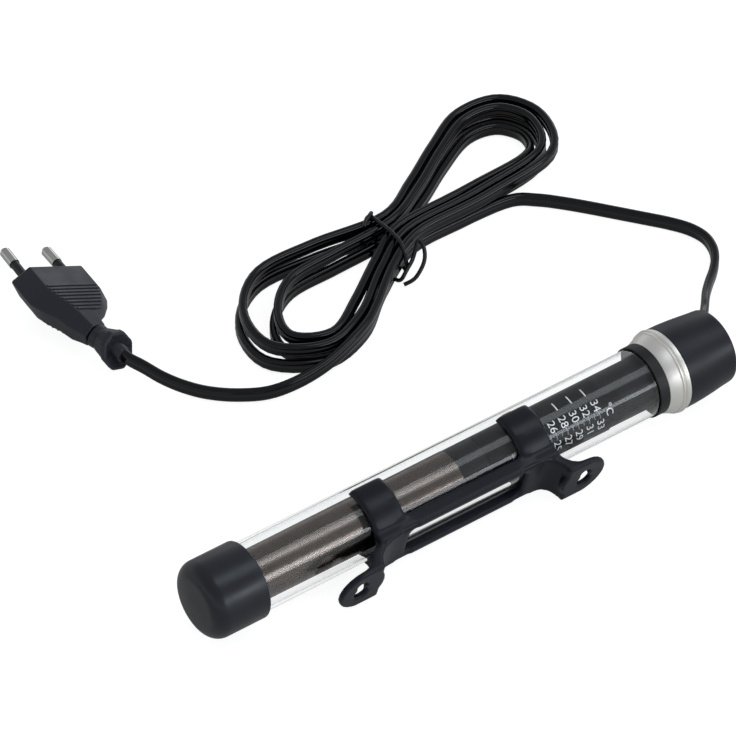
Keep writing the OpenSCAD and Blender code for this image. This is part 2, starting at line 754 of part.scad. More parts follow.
module cord_tail() {
    n = len(hank_path);
    echo(tail_least_gap = min([for (p = tail_route) for (i = [0:n - 4]) norm(p - hank_path[i])]) - cord_t);
    color("#121316")
    sweep(concat([hank_path[n - 1]], tail_route, [boot_tip - boot_dir * 3, boot_tip]), hank_a, hank_b, 8,
          hank_path[n - 1] - hank_path[n - 2], boot_dir);
}

// Tie round the waist, with two twisted ends
module twist_tie() {
    low = layer_1 - hank_b + waist_lift - tie_t - 0.3;
    high = layer_2 + hank_b + waist_lift + 0.3;
    left = outer_loop[0][1] - 3;
    right = outer_loop[8][1] + 1.5;
    color("#0e0f12")
    translate([waist[0], waist[1], 0]) rotate([0, 0, hank_turn]) translate([-tie_w / 2 - 1.5, 0, 0])
        rotate([90, 0, 90]) linear_extrude(tie_w) difference() {
            offset(r = tie_t) hull() for (y = [left + 2, right - 2]) for (z = [low + tie_t + 2, high - 2])
                translate([y, z]) circle(r = 2, $fn = 24);
            hull() for (y = [left + 2, right - 2]) for (z = [low + tie_t + 2, high - 2])
                translate([y, z]) circle(r = 2, $fn = 24);
        }
}

// ---------------------------------------------------------------- plug

// Middle of the plug's front face, its heading and how far it leans to its right, onto one edge
plug_heading = 84.7;
plug_lean = 22;
plug_rest = plug_flat_w / 2 * sin(plug_lean) + plug_t / 2 * cos(plug_lean) + 0.04;
plug_place = [-53.7, 174.7, plug_rest];
boot_l = 14;
boot_d = 8.8;
pin_root = 5;                    // part of a pin inside the body
pin_core_r = 1.3;                // radius of a pin's stem
pin_room = 0.3;                  // room round the stem, which leans in its bore
pin_lean = 1.65;
pin_nose = 1.2;
sleeve_start = 0.1;              // from the body's face to the sleeve
boot_bend = 17.8;                // the boot bends aside where it leaves the body
boot_dip = 6.8;
plug_p = [cos(plug_heading), sin(plug_heading), 0];
boot_root = plug_place - plug_p * (plug_l + plug_taper_l);
boot_dir = [cos(boot_dip) * cos(plug_heading + boot_bend), cos(boot_dip) * sin(plug_heading + boot_bend),
            sin(boot_dip)];
boot_tip = boot_root - boot_dir * boot_l;

// A child modelled with its pins towards +Y and its flat faces towards Z
module in_plug() {
    translate(plug_place) rotate([0, 0, plug_heading - 90]) rotate([0, plug_lean, 0]) children();
}

function plug_outline(w, flat, t) =
    [[-w / 2, 0], [-flat / 2, -t / 2], [flat / 2, -t / 2], [w / 2, 0], [flat / 2, t / 2], [-flat / 2, t / 2]];

module plug_slice(y, w, flat, t) {
    translate([0, y, 0]) rotate([90, 0, 0]) linear_extrude(0.01) polygon(plug_outline(w, flat, t));
}

// Turns a child that is modelled along +Z so that it runs from the body towards the cord
module on_boot() {
    translate(boot_root) rotate([0, 90 + boot_dip, plug_heading + boot_bend + 180]) children();
}

module plug_body() {
    mid = 0.45;                  // where along its taper the body changes slope
    mid_y = -plug_l - plug_taper_l * mid;
    color("#191a1e") {
        in_plug() difference() {
            rotate([90, 0, 0]) linear_extrude(plug_l) polygon(plug_outline(plug_w, plug_flat_w, plug_t));
            for (side = [-1, 1]) translate([side * pin_pitch / 2, eps, 0]) rotate([90, 0, 0])
                cylinder(h = pin_root + 1, r = pin_core_r + pin_room);
        }
        hull() in_plug() {
            plug_slice(-plug_l + eps, plug_w, plug_flat_w, plug_t);
            plug_slice(mid_y, plug_w * 0.62, plug_flat_w * 0.6, plug_t * 0.95);
        }
        hull() {
            in_plug() plug_slice(mid_y + eps, plug_w * 0.62, plug_flat_w * 0.6, plug_t * 0.95);
            on_boot() translate([0, 0, -0.1]) cylinder(h = 0.1, d = boot_d, $fn = 32);
        }
    }
}

// Cuff that widens to a collar round the cord
module plug_boot() {
    collar_d = 13.4;
    color("#191a1e")
    on_boot() translate([0, 0, slip_gap]) rotate_extrude() polygon([[0, 0], [boot_d / 2, 0], [boot_d / 2 - 0.1, 2.5],
        [collar_d / 2 - 0.4, 6], [collar_d / 2, 7], [collar_d / 2 - 0.8, 11], [4.4, 11.6], [3.6, boot_l - slip_gap],
        [0, boot_l - slip_gap]]);
}

// A child modelled along +Z at each pin; the pins lean slightly towards each other
module on_pins() {
    in_plug() for (side = [-1, 1]) translate([side * pin_pitch / 2, 0, 0]) rotate([-90, 0, side * pin_lean])
        children();
}

// Pins with a thinner stem inside the body and the sleeves, and a full-size bare end
module plug_pins() {
    pin_r = pin_d / 2;
    nose_cut = 0.9;
    bare_from = pin_sleeve_l + sleeve_start + slip_gap;
    color("silver")
    on_pins() {
        translate([0, 0, -pin_root]) cylinder(h = pin_root + bare_from + eps, r = pin_core_r);
        translate([0, 0, bare_from]) cylinder(h = pin_l - pin_nose - bare_from, r = pin_r);
        translate([0, 0, pin_l - pin_nose - eps]) cylinder(h = pin_nose + eps, r1 = pin_r, r2 = pin_r - nose_cut);
    }
}

// Insulating sleeves, a little thinner than the bare ends
module pin_sleeves() {
    sleeve_cut = 0.3;
    color("#202125")
    on_pins() difference() {
        translate([0, 0, sleeve_start]) cylinder(h = pin_sleeve_l, r = pin_d / 2 - sleeve_cut);
        translate([0, 0, -1]) cylinder(h = pin_sleeve_l + 3, r = pin_core_r + 0.02);
    }
}

glass_tube();
bottom_cap();
bottom_cushion();
heat_sleeve();
core_washers();
ceramic_core();
heating_coil();
thermostat_carrier();
scale_card();
setting_pointer();
setting_screw();
setting_knob();
knob_seal();
bimetal_strip();
fixed_contact();
contact_points();
contact_magnet();
lead_wires();
tube_stopper();
seal_ring();
collar();
top_cap();
cord_grommet();
cord_lead();
cord_hank();
cord_tail();
twist_tie();
plug_body();
plug_boot();
plug_pins();
pin_sleeves();
bracket();
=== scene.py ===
import math

import bmesh
import bpy
from bpy.props import FloatProperty, FloatVectorProperty, IntProperty, PointerProperty
from bpy.types import Operator, Panel, PropertyGroup
from mathutils import Matrix, Vector


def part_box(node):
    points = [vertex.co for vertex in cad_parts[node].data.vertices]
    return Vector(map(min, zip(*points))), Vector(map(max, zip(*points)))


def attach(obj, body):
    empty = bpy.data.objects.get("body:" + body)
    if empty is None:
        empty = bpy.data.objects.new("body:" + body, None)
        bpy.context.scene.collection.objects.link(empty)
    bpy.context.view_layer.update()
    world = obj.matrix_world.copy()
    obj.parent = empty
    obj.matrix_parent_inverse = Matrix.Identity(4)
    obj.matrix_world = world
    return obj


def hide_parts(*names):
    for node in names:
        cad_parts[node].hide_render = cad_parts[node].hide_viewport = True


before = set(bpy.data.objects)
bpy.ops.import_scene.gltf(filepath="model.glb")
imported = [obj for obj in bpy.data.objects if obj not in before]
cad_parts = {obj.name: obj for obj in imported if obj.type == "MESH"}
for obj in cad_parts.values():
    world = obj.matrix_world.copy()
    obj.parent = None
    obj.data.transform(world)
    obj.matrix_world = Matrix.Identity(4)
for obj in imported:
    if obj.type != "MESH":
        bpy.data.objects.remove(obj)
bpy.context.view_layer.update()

bl_info = {
    "name": "Aquarium heater",
    "version": (1, 0, 0),
    "blender": (4, 5, 0),
    "location": "3D View > Sidebar > Heater",
    "description": "Dresses the heater's frame: glass tube, caps, bracket, flat cord in a hank, and its plug",
    "category": "Object",
}

MM = 0.001
BODY = "heater"
COOL_WHITE = (0.88, 0.94, 1.0)  # colour of the lamps


# -------------------- measures from the frame

def span(node):
    """A turned node's first and last station along the tube and its radius, in millimetres."""
    low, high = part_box(node)
    return (low.x - START) / MM, (high.x - START) / MM, (high.z - AXIS.z) / MM


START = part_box("bottom_cap")[0].x
TUBE_LOW, TUBE_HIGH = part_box("glass_tube")
AXIS = Vector((0, (TUBE_LOW.y + TUBE_HIGH.y) / 2, (TUBE_LOW.z + TUBE_HIGH.z) / 2))
GLASS_FROM, GLASS_TO, GLASS_R = span("glass_tube")
_, CARD_TO, CARD_R = span("scale_card")
SNUG = 0.05  # gap between the glass and what sits on it


def on_tube(station, radius, angle=90.0):
    """A point by its station, its radius and its angle up from the front, in millimetres and degrees."""
    a = math.radians(angle)
    return Vector((START + station * MM, AXIS.y - radius * MM * math.cos(a),
                   AXIS.z + radius * MM * math.sin(a)))


# -------------------- colours, nodes and materials

def linear(code):
    """An sRGB hex colour as linear red, green and blue."""
    parts = [int(code[i:i + 2], 16) / 255 for i in (0, 2, 4)]
    return tuple(c / 12.92 if c <= 0.04045 else ((c + 0.055) / 1.055) ** 2.4 for c in parts)


def add_node(tree, kind, inputs=(), **settings):
    """Add one node. settings are its own properties, inputs its sockets' values or sources."""
    made = tree.nodes.new(kind)
    for key, value in settings.items():
        setattr(made, key, value)
    for key, value in dict(inputs).items():
        if isinstance(value, bpy.types.NodeSocket):
            tree.links.new(value, made.inputs[key])
        else:
            made.inputs[key].default_value = value
    return made


def plain(name, sockets):
    """A new material with its tree and its shader, whose sockets are set."""
    mat = bpy.data.materials.new(name)
    mat.use_nodes = True
    shader = mat.node_tree.nodes["Principled BSDF"]
    for key, value in sockets.items():
        shader.inputs[key].default_value = value
    return mat, mat.node_tree, shader


GLASS_IOR = 1.35  # below real glass, which keeps the inner wall's reflections faint
HAZE_SIZE, HAZE = 30, 0.03  # size of the wiped marks on the glass, and their roughness


def surface(name, colour, rough, grain, depth, uneven=0.06, shade=0.12, patch=9.0, stretch=(1, 1, 1),
            sheath=False, **sockets):
    """A surface with a fine relief and slightly uneven gloss and tone.

    grain and patch are the sizes of the relief and of the uneven patches in millimetres, depth the relief's
    depth in millimetres, stretch how much longer than wide the pattern lies along each axis. With sheath the
    pattern follows the piece's own attribute of that name. sockets are other values of the shader.
    """
    mat, tree, shader = plain(name, {key.replace("_", " "): value for key, value in sockets.items()})
    if sheath:
        where = add_node(tree, "ShaderNodeAttribute", attribute_name="sheath").outputs["Vector"]
    else:
        where = add_node(tree, "ShaderNodeTexCoord").outputs["Object"]
    lay = add_node(tree, "ShaderNodeMapping", {"Vector": where, "Scale": [1 / s for s in stretch]}).outputs[0]
    relief = add_node(tree, "ShaderNodeTexNoise", {"Vector": lay, "Scale": 1 / (grain * MM), "Detail": 3.0})
    cloud = add_node(tree, "ShaderNodeTexNoise", {"Vector": lay, "Scale": 1 / (patch * MM), "Detail": 4.0})
    gloss = add_node(tree, "ShaderNodeMapRange", {
        "Value": cloud.outputs["Fac"], "From Min": 0.3, "From Max": 0.7,
        "To Min": rough - uneven, "To Max": rough + uneven})
    dark, pale = ([c * k for c in colour[:3]] + [1.0] for k in (1 - shade, 1 + shade))
    tone = add_node(tree, "ShaderNodeMix", {0: cloud.outputs["Fac"], 6: dark, 7: pale}, data_type="RGBA")
    bump = add_node(tree, "ShaderNodeBump", {"Height": relief.outputs["Fac"], "Distance": depth * MM})
    tree.links.new(tone.outputs[2], shader.inputs["Base Color"])
    tree.links.new(gloss.outputs["Result"], shader.inputs["Roughness"])
    tree.links.new(bump.outputs["Normal"], shader.inputs["Normal"])
    return mat


def clear_glass(name, colour):
    """Borosilicate tube, drawn and fire-polished: clear, with faint wiped marks.

    It lets the lamps' light through, so that what is inside is lit as through a thin wall.
    """
    mat, tree, shader = plain(name, {"Base Color": (*colour, 1.0), "Transmission Weight": 1.0,
                                     "IOR": GLASS_IOR})
    where = add_node(tree, "ShaderNodeTexCoord").outputs["Object"]
    wipe = add_node(tree, "ShaderNodeTexNoise", {"Vector": where, "Scale": 1 / (HAZE_SIZE * MM),
                                                 "Detail": 2.0})
    haze = add_node(tree, "ShaderNodeMapRange", {"Value": wipe.outputs["Fac"], "To Min": 0.0, "To Max": HAZE})
    tree.links.new(haze.outputs["Result"], shader.inputs["Roughness"])
    light = add_node(tree, "ShaderNodeLightPath")
    clear = add_node(tree, "ShaderNodeBsdfTransparent")
    mix = add_node(tree, "ShaderNodeMixShader", {0: light.outputs["Is Shadow Ray"], 1: shader.outputs[0],
                                                 2: clear.outputs[0]})
    tree.links.new(mix.outputs[0], tree.nodes["Material Output"].inputs["Surface"])
    return mat


NONE_YET = 0.5  # a ray's depth of one kind is below this until the first time
IN_WALL = 2.5  # rays mirrored inside the glass's wall have passed fewer surfaces


def background(tree, mirrored, walled):
    """How much of the pale background a ray shows.

    Rays from the camera show all of it, straight or through glass. mirrored is the share for mirrored rays
    and walled the share for rays mirrored inside the glass's wall. Rays that have lit something show none,
    so that the background adds no light to the object.
    """
    ray = dict(add_node(tree, "ShaderNodeLightPath").outputs.items())
    for made, first, operation, second in (
            ("unlit", "Diffuse Depth", "LESS_THAN", NONE_YET),
            ("direct", "Glossy Depth", "LESS_THAN", NONE_YET),
            ("in wall", "Transmission Depth", "LESS_THAN", IN_WALL),
            ("wall share", "in wall", "MULTIPLY", walled),
            ("clear", "direct", "MAXIMUM", "wall share"),
            ("through", "Is Transmission Ray", "MULTIPLY", "clear"),
            ("mirror", "Is Glossy Ray", "MULTIPLY", mirrored),
            ("either", "through", "MAXIMUM", "mirror"),
            ("indirect", "either", "MULTIPLY", "unlit"),
            ("seen", "Is Camera Ray", "MAXIMUM", "indirect")):
        other = ray[second] if isinstance(second, str) else second
        ray[made] = add_node(tree, "ShaderNodeMath", {0: ray[first], 1: other}, operation=operation).outputs[0]
    return ray["seen"]


# -------------------- meshes and pieces

SAME_POINT, SAME_CAD_POINT = 1e-7, 2e-6  # points closer than this, in metres, are one


def settle(bm):
    """Join doubled points and turn the faces outwards."""
    bmesh.ops.remove_doubles(bm, verts=bm.verts[:], dist=SAME_POINT)
    bmesh.ops.recalc_face_normals(bm, faces=bm.faces[:])
    return bm


def turn(points, steps, closed=True):
    """A shell turned round the tube's axis from (station, radius) points in millimetres."""
    bm = bmesh.new()
    verts = [bm.verts.new(on_tube(s, r)) for s, r in points]
    ring = verts + verts[:1] if closed else verts
    edges = [bm.edges.new(pair) for pair in zip(ring, ring[1:])]
    bmesh.ops.spin(bm, geom=verts + edges, cent=AXIS, axis=(1, 0, 0), angle=math.tau, steps=steps,
                   use_merge=True, use_duplicate=False)
    return settle(bm)


def arc(s, r, size, start, end, steps=6):
    """Points on a small arc of a profile, by angle from the tube's direction towards the outside."""
    angles = [math.radians(start + (end - start) * i / steps) for i in range(steps + 1)]
    return [(s + size * math.cos(a), r + size * math.sin(a)) for a in angles]


def loft(rings, bm=None):
    """A skin over rings of points, each bridged to the next, with filled ends."""
    bm = bm or bmesh.new()
    loops = []
    for ring in rings:
        verts = [bm.verts.new(p) for p in ring]
        loops.append([bm.edges.new((a, b)) for a, b in zip(verts, verts[1:] + verts[:1])])
    for near, far in zip(loops, loops[1:]):
        bmesh.ops.bridge_loops(bm, edges=near + far)
    for loop in (loops[0], loops[-1]):
        bmesh.ops.contextual_create(bm, geom=loop)
    bmesh.ops.recalc_face_normals(bm, faces=bm.faces[:])
    return bm


def baked(obj):
    """The finished shape of an object as a bmesh; the object is removed."""
    bpy.context.scene.collection.objects.link(obj)
    mesh = bpy.data.meshes.new_from_object(obj.evaluated_get(bpy.context.evaluated_depsgraph_get()))
    bm = bmesh.new()
    bm.from_mesh(mesh)
    bpy.data.objects.remove(obj)
    bpy.data.meshes.remove(mesh)
    return bm


def merged_copy(node):
    """The joined-up mesh of a CAD node, as a bmesh."""
    bm = bmesh.new()
    bm.from_mesh(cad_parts[node].data)
    bmesh.ops.remove_doubles(bm, verts=bm.verts[:], dist=SAME_CAD_POINT)
    bmesh.ops.dissolve_limit(bm, angle_limit=math.radians(0.5), verts=bm.verts[:], edges=bm.edges[:])
    return bm


def as_mesh(name, bm):
    """The mesh of a bmesh, which is freed."""
    mesh = bpy.data.meshes.new(name)
    bm.to_mesh(mesh)
    bm.free()
    return mesh


def piece(name, bm, material, nodes=(), body=BODY, sharp=32.0):
    """Make a finished piece of a bmesh: shaded, with its material, riding on its body."""
    mesh = as_mesh(name, bm)
    mesh.materials.append(material)
    mesh.shade_smooth()
    mesh.set_sharp_from_angle(angle=math.radians(sharp))
    obj = bpy.data.objects.new(name, mesh)
    bpy.context.scene.collection.objects.link(obj)
    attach(obj, body)
    if nodes:
        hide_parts(*nodes)
    return obj


def round_edges(obj, width, segments=3, angle=35.0):
    """Round a piece's edges by a width in millimetres."""
    bevel = obj.modifiers.new("Rounded edges", "BEVEL")
    bevel.width = width * MM
    bevel.segments = segments
    bevel.limit_method = "ANGLE"
    bevel.angle_limit = math.radians(angle)
    bevel.harden_normals = True


def cover(node, material):
    """Give a CAD node's slots a material."""
    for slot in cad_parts[node].material_slots:
        slot.material = material


def paint(node, name, code, rough, grain, depth, **more):
    """Give a CAD node a surface of its own."""
    material = surface(name, linear(code), rough, grain, depth, **more)
    cover(node, material)
    return material


# -------------------- the cord's route, in millimetres

WAIST = Vector((63, 126, 0))  # middle of the hank, where the tie holds it
HANK_TURN = math.radians(16.4)
LAYER_1, LAYER_2 = 2.8, 8.7  # heights of the cord's middle in the hank's two layers
WAIST_LIFT, WAIST_SPREAD = 1.3, 16  # the waist lies on the tie
LOOPS_FROM, LOOPS_TO = -0.05, 4.06  # turns of the hank
TURN_BACK = 1.875  # where the spiral reverses and the cord climbs to the second layer
CLIMB_LEAD, CLIMB_RUN = 0.11, 0.2  # the climb begins before TURN_BACK and lasts so many turns
COARSE_RINGS, LOOP_RINGS = 24, 96  # points of a turn, in the solids and here
PATH_STEPS = 5  # steps between two points of a route
SEATED, STEER = 3, 7  # how far the ends reach in, and the points that steer them
OUTER_LOOP = [(0, -8), (-26, -14), (-48, -23), (-69, -21), (-83, -2), (-74, 20), (-52, 30), (-26, 22),
              (0, 8), (22, 12.5), (44, 18.5), (65, 22.5), (82, 15), (84, -3), (68, -19), (35, -15)]
INNER_LOOP = [(0, -0.5), (-18, -4), (-40, -11), (-57, -16), (-66, -8), (-59, 1), (-44, 7), (-24, 4),
              (0, 0.5), (22, 4.5), (43, 10.5), (62, 14), (73.5, 9), (74.5, -2), (63, -11), (34, -7)]
LEAD_ROUTE = [(127.5, 30.5, 6.6), (132.5, 36, 5.2), (138, 41, 4), (143.5, 45.5, 3.2), (148.5, 50.5, 2.9),
              (152, 56, 2.8), (153.5, 62.5, 2.8), (152, 69.5, 2.8), (148, 76.5, 2.8), (142.5, 84, 2.8),
              (136.5, 92, 2.8), (130.5, 100, 2.8), (124.5, 107.5, 2.8), (118, 114.5, 2.8), (110, 120, 2.8)]
TAIL_ROUTE = [(32, 96, 8.6), (23, 90, 8.6), (12, 85.5, 8.2), (0.5, 83, 6.8), (-11, 83.5, 4.8),
              (-21.5, 86.5, 3.2), (-31, 92.5, 2.8), (-38.5, 99.5, 2.9), (-44, 106.5, 3.8), (-48, 113, 5.2),
              (-51, 119.5, 6.9)]

# The tie's wire: its long curled end, under the waist, over it, under it again and its short end
TIE_ROUTE = [(50.5, 107.6, 0.8), (52, 106.8, 1.2), (55.6, 105.6, 2.8), (58.6, 105.9, 5.2), (61.1, 107, 7.6),
             (62.9, 109.2, 9.4), (63.9, 112, 10.8), (63.4, 113.8, 11), (61.6, 112.8, 9), (58.6, 110.8, 6.6),
             (55.2, 109.4, 4.8), (52.2, 108.6, 2.4), (51.6, 111, 0.9), (52.2, 115, 0.8), (53, 121, 0.8),
             (53.8, 128, 0.8), (54.6, 133.6, 1.4), (55.4, 135.7, 4.5), (56, 135.6, 8.5), (56.2, 134.6, 11.6),
             (56.4, 132.2, 13.3), (56.6, 128, 13.5), (57, 121, 13.5), (56.5, 115.2, 13.2), (56, 112.3, 11.6),
             (56, 111.2, 8.4), (56.7, 111.3, 3.8), (57.4, 112.8, 1.1), (58.2, 117, 0.8), (58.9, 124, 0.8),
             (59.2, 130, 0.8), (59.2, 134.4, 1.8), (58.9, 136, 5.4), (58.5, 135.9, 9.4), (58, 134.8, 12.2),
             (56.9, 133.4, 14), (54.9, 132, 14.4), (52.6, 130.8, 14), (50.8, 129.2, 13.3), (49.6, 127.6, 13)]


def direction(yaw, pitch):
    """A unit vector by its heading from +X and its rise, in degrees."""
    yaw, pitch = math.radians(yaw), math.radians(pitch)
    return Vector((math.cos(pitch) * math.cos(yaw), math.cos(pitch) * math.sin(yaw), math.sin(pitch)))


# The strain relief: where it leaves the top cap, its direction and its length
GRIP_YAW, GRIP_DIP, GRIP_L = 44, 14, 17
GRIP_BACK, GRIP_DOWN = 8.4, 3
GRIP_DIR = direction(GRIP_YAW, -GRIP_DIP)
GRIP_ROOT = Vector((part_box("top_cap")[1].x / MM, AXIS.y / MM + GRIP_BACK, AXIS.z / MM - GRIP_DOWN))
# The plug leans on the edge of one flat face; its boot bends away from it and a little upwards
PLUG_HEADING, PLUG_LEAN = 84.7, 22
PLUG_W, PLUG_FLAT, PLUG_T, PLUG_L, PLUG_TAPER = 33, 22, 12.5, 14.5, 20
FLOOR_GAP = 0.04
PLUG_AT = Vector((-53.7, 174.7, PLUG_FLAT / 2 * math.sin(math.radians(PLUG_LEAN))
                  + PLUG_T / 2 * math.cos(math.radians(PLUG_LEAN)) + FLOOR_GAP))
BOOT_ROOT = PLUG_AT - direction(PLUG_HEADING, 0) * (PLUG_L + PLUG_TAPER)
BOOT_BEND, BOOT_RISE, BOOT_L = 17.8, 6.8, 14
BOOT_DIR = direction(PLUG_HEADING + BOOT_BEND, BOOT_RISE)
BOOT_TIP = BOOT_ROOT - BOOT_DIR * BOOT_L


def spline(a, b, c, d, f):
    """A point between b and c on the smooth curve through a, b, c and d."""
    return b + f / 2 * ((c - a) + f * ((2 * a - 5 * b + 4 * c - d) + f * (3 * (b - c) + d - a)))


def loop_point(points, u):
    """A point of the closed smooth curve through points, where u counts them."""
    k = math.floor(u)
    return spline(*(Vector(points[(k + i) % len(points)]) for i in (-1, 0, 1, 2)), u - k)


def hank_point(t):
    """A point of the hank after t turns."""
    inward = (t + 2 - TURN_BACK) / 2 if t < TURN_BACK else 1 - (t - TURN_BACK) / 2
    up = min(1, max(0, (t - TURN_BACK + CLIMB_LEAD) / CLIMB_RUN))
    climb = up * up * (3 - 2 * up)
    u = len(OUTER_LOOP) * t
    p = loop_point(OUTER_LOOP, u) * (1 - inward) + loop_point(INNER_LOOP, u) * inward
    z = LAYER_1 + (LAYER_2 - LAYER_1) * climb + WAIST_LIFT * math.exp(-(p.x / WAIST_SPREAD) ** 2)
    return WAIST + Matrix.Rotation(HANK_TURN, 3, "Z") @ Vector((p.x, p.y, z))


def through(points, before, after):
    """Points on the smooth curve through points; before and after steer its ends."""
    p = [before] + [Vector(q) for q in points] + [after]
    out = [spline(*p[i:i + 4], k / PATH_STEPS) for i in range(len(p) - 3) for k in range(PATH_STEPS)]
    return out + [p[-2]]


def cord_route():
    """The cord's whole centreline, from inside its strain relief to inside the plug's boot."""
    coarse = 1 / COARSE_RINGS
    tip = GRIP_ROOT + GRIP_DIR * GRIP_L
    straight = [tip - GRIP_DIR * SEATED, tip, tip + GRIP_DIR * 4]
    lead = through(straight + LEAD_ROUTE + [hank_point(LOOPS_FROM)],
                   tip - GRIP_DIR * STEER, hank_point(LOOPS_FROM + coarse))
    # The hank ends on the last whole step of the solids' route
    end = LOOPS_FROM + math.floor((LOOPS_TO - LOOPS_FROM) * COARSE_RINGS + 1e-6) * coarse
    count = round((end - LOOPS_FROM) * LOOP_RINGS)
    hank = [hank_point(LOOPS_FROM + i / LOOP_RINGS) for i in range(1, count)]
    straight = [BOOT_TIP - BOOT_DIR * 3, BOOT_TIP, BOOT_TIP + BOOT_DIR * SEATED]
    tail = through([hank_point(end)] + TAIL_ROUTE + straight,
                   hank_point(end - coarse), BOOT_TIP + BOOT_DIR * STEER)
    return lead + hank + tail


def ring_round(centre, along, outline):
    """A ring of points round a centre in millimetres; outline gives (sideways, upwards) offsets."""
    side = Vector((-along.y, along.x, 0)).normalized()
    up = along.cross(side)
    return [(centre + side * a + up * b) * MM for a, b in outline]


def headings(path):
    """The direction of a path at each of its points."""
    last = len(path) - 1
    return [(path[min(i + 1, last)] - path[max(i - 1, 0)]).normalized() for i in range(last + 1)]


def flat_cord_outline(width, thickness, groove, points=28):
    """Outline of a flat two-core cord standing on edge, with a shallow groove on each face."""
    core = thickness / 2
    offset = width / 2 - core
    out = []
    for i in range(points):
        angle = math.tau * (i + 0.5) / points
        b = width / 2 * math.sin(angle)
        over = abs(b) - offset
        if over > 0:
            a = math.sqrt(max(core * core - over * over, 0))
        else:
            a = core - groove * math.cos(math.pi / 2 * b / offset) ** 2
        out.append((math.copysign(a, math.cos(angle)), b))
    return out


def round_outline(radius, points):
    """A circle as (sideways, upwards) offsets."""
    angles = [math.tau * (i + 0.5) / points for i in range(points)]
    return [(radius * math.cos(a), radius * math.sin(a)) for a in angles]


# -------------------- sizes and colours

def length(name, text, default):
    """A length for the panel, in metres."""
    return FloatProperty(name=name, description=text, default=default, unit="LENGTH", subtype="DISTANCE",
                         precision=5)


def colour(name, text, code):
    """A colour for the panel, from its sRGB hex code."""
    return FloatVectorProperty(name=name, description=text, default=linear(code), subtype="COLOR", size=3,
                               min=0.0, max=1.0)


class HeaterSizes(PropertyGroup):
    """Sizes of the dressed pieces."""
    cord_width: length("Cord width", "Width of the flat cord", 5.4 * MM)
    cord_thickness: length("Cord thickness", "Thickness of the flat cord", 3.1 * MM)
    cord_groove: length("Cord groove", "Depth of the groove between the cord's cores", 0.22 * MM)
    tie_thickness: length("Tie thickness", "Thickness of the wire tie", 1.5 * MM)
    glass_wall: length("Glass wall", "Thickness of the glass", 1.2 * MM)
    bracket_detail: length("Bracket detail", "Size of the smallest form kept in the bracket", 0.4 * MM)
    digit_height: length("Digit height", "Height of the scale's numbers", 3.0 * MM)
    turned_steps: IntProperty(name="Turned steps", description="Faces round a turned piece", default=96,
                              min=24)


class HeaterColours(PropertyGroup):
    """Colours of the materials."""
    bracket: colour("Bracket", "Black polypropylene with a cool cast", "11151F")
    cap_rubber: colour("Bottom cap", "Black silicone rubber", "1E2129")
    cap_plastic: colour("Top cap", "Black moulded cap", "12151F")
    cord: colour("Cord", "Black PVC sheath", "05060A")
    plug: colour("Plug", "Black PVC moulding", "22242E")
    metal_sleeve: colour("Heating sleeve", "Dark oxidised steel", "6E655F")
    aluminium: colour("Collar", "Turned aluminium", "F5F2EC")
    carrier: colour("Thermostat carrier", "Gloss black ABS", "0E0F13")
    print: colour("Print", "White ink", "F4F5F6")
    ticks: colour("Ticks", "Grey ink", "7B7F84")
    pointer: colour("Pointer", "Red ABS", "B5341F")


# -------------------- operators

class HeaterOperator:
    """What the heater's operators share."""
    bl_options = {"REGISTER", "UNDO"}

    @staticmethod
    def groups(context):
        """The heater's sizes and colours."""
        return context.scene.heater_sizes, context.scene.heater_colours


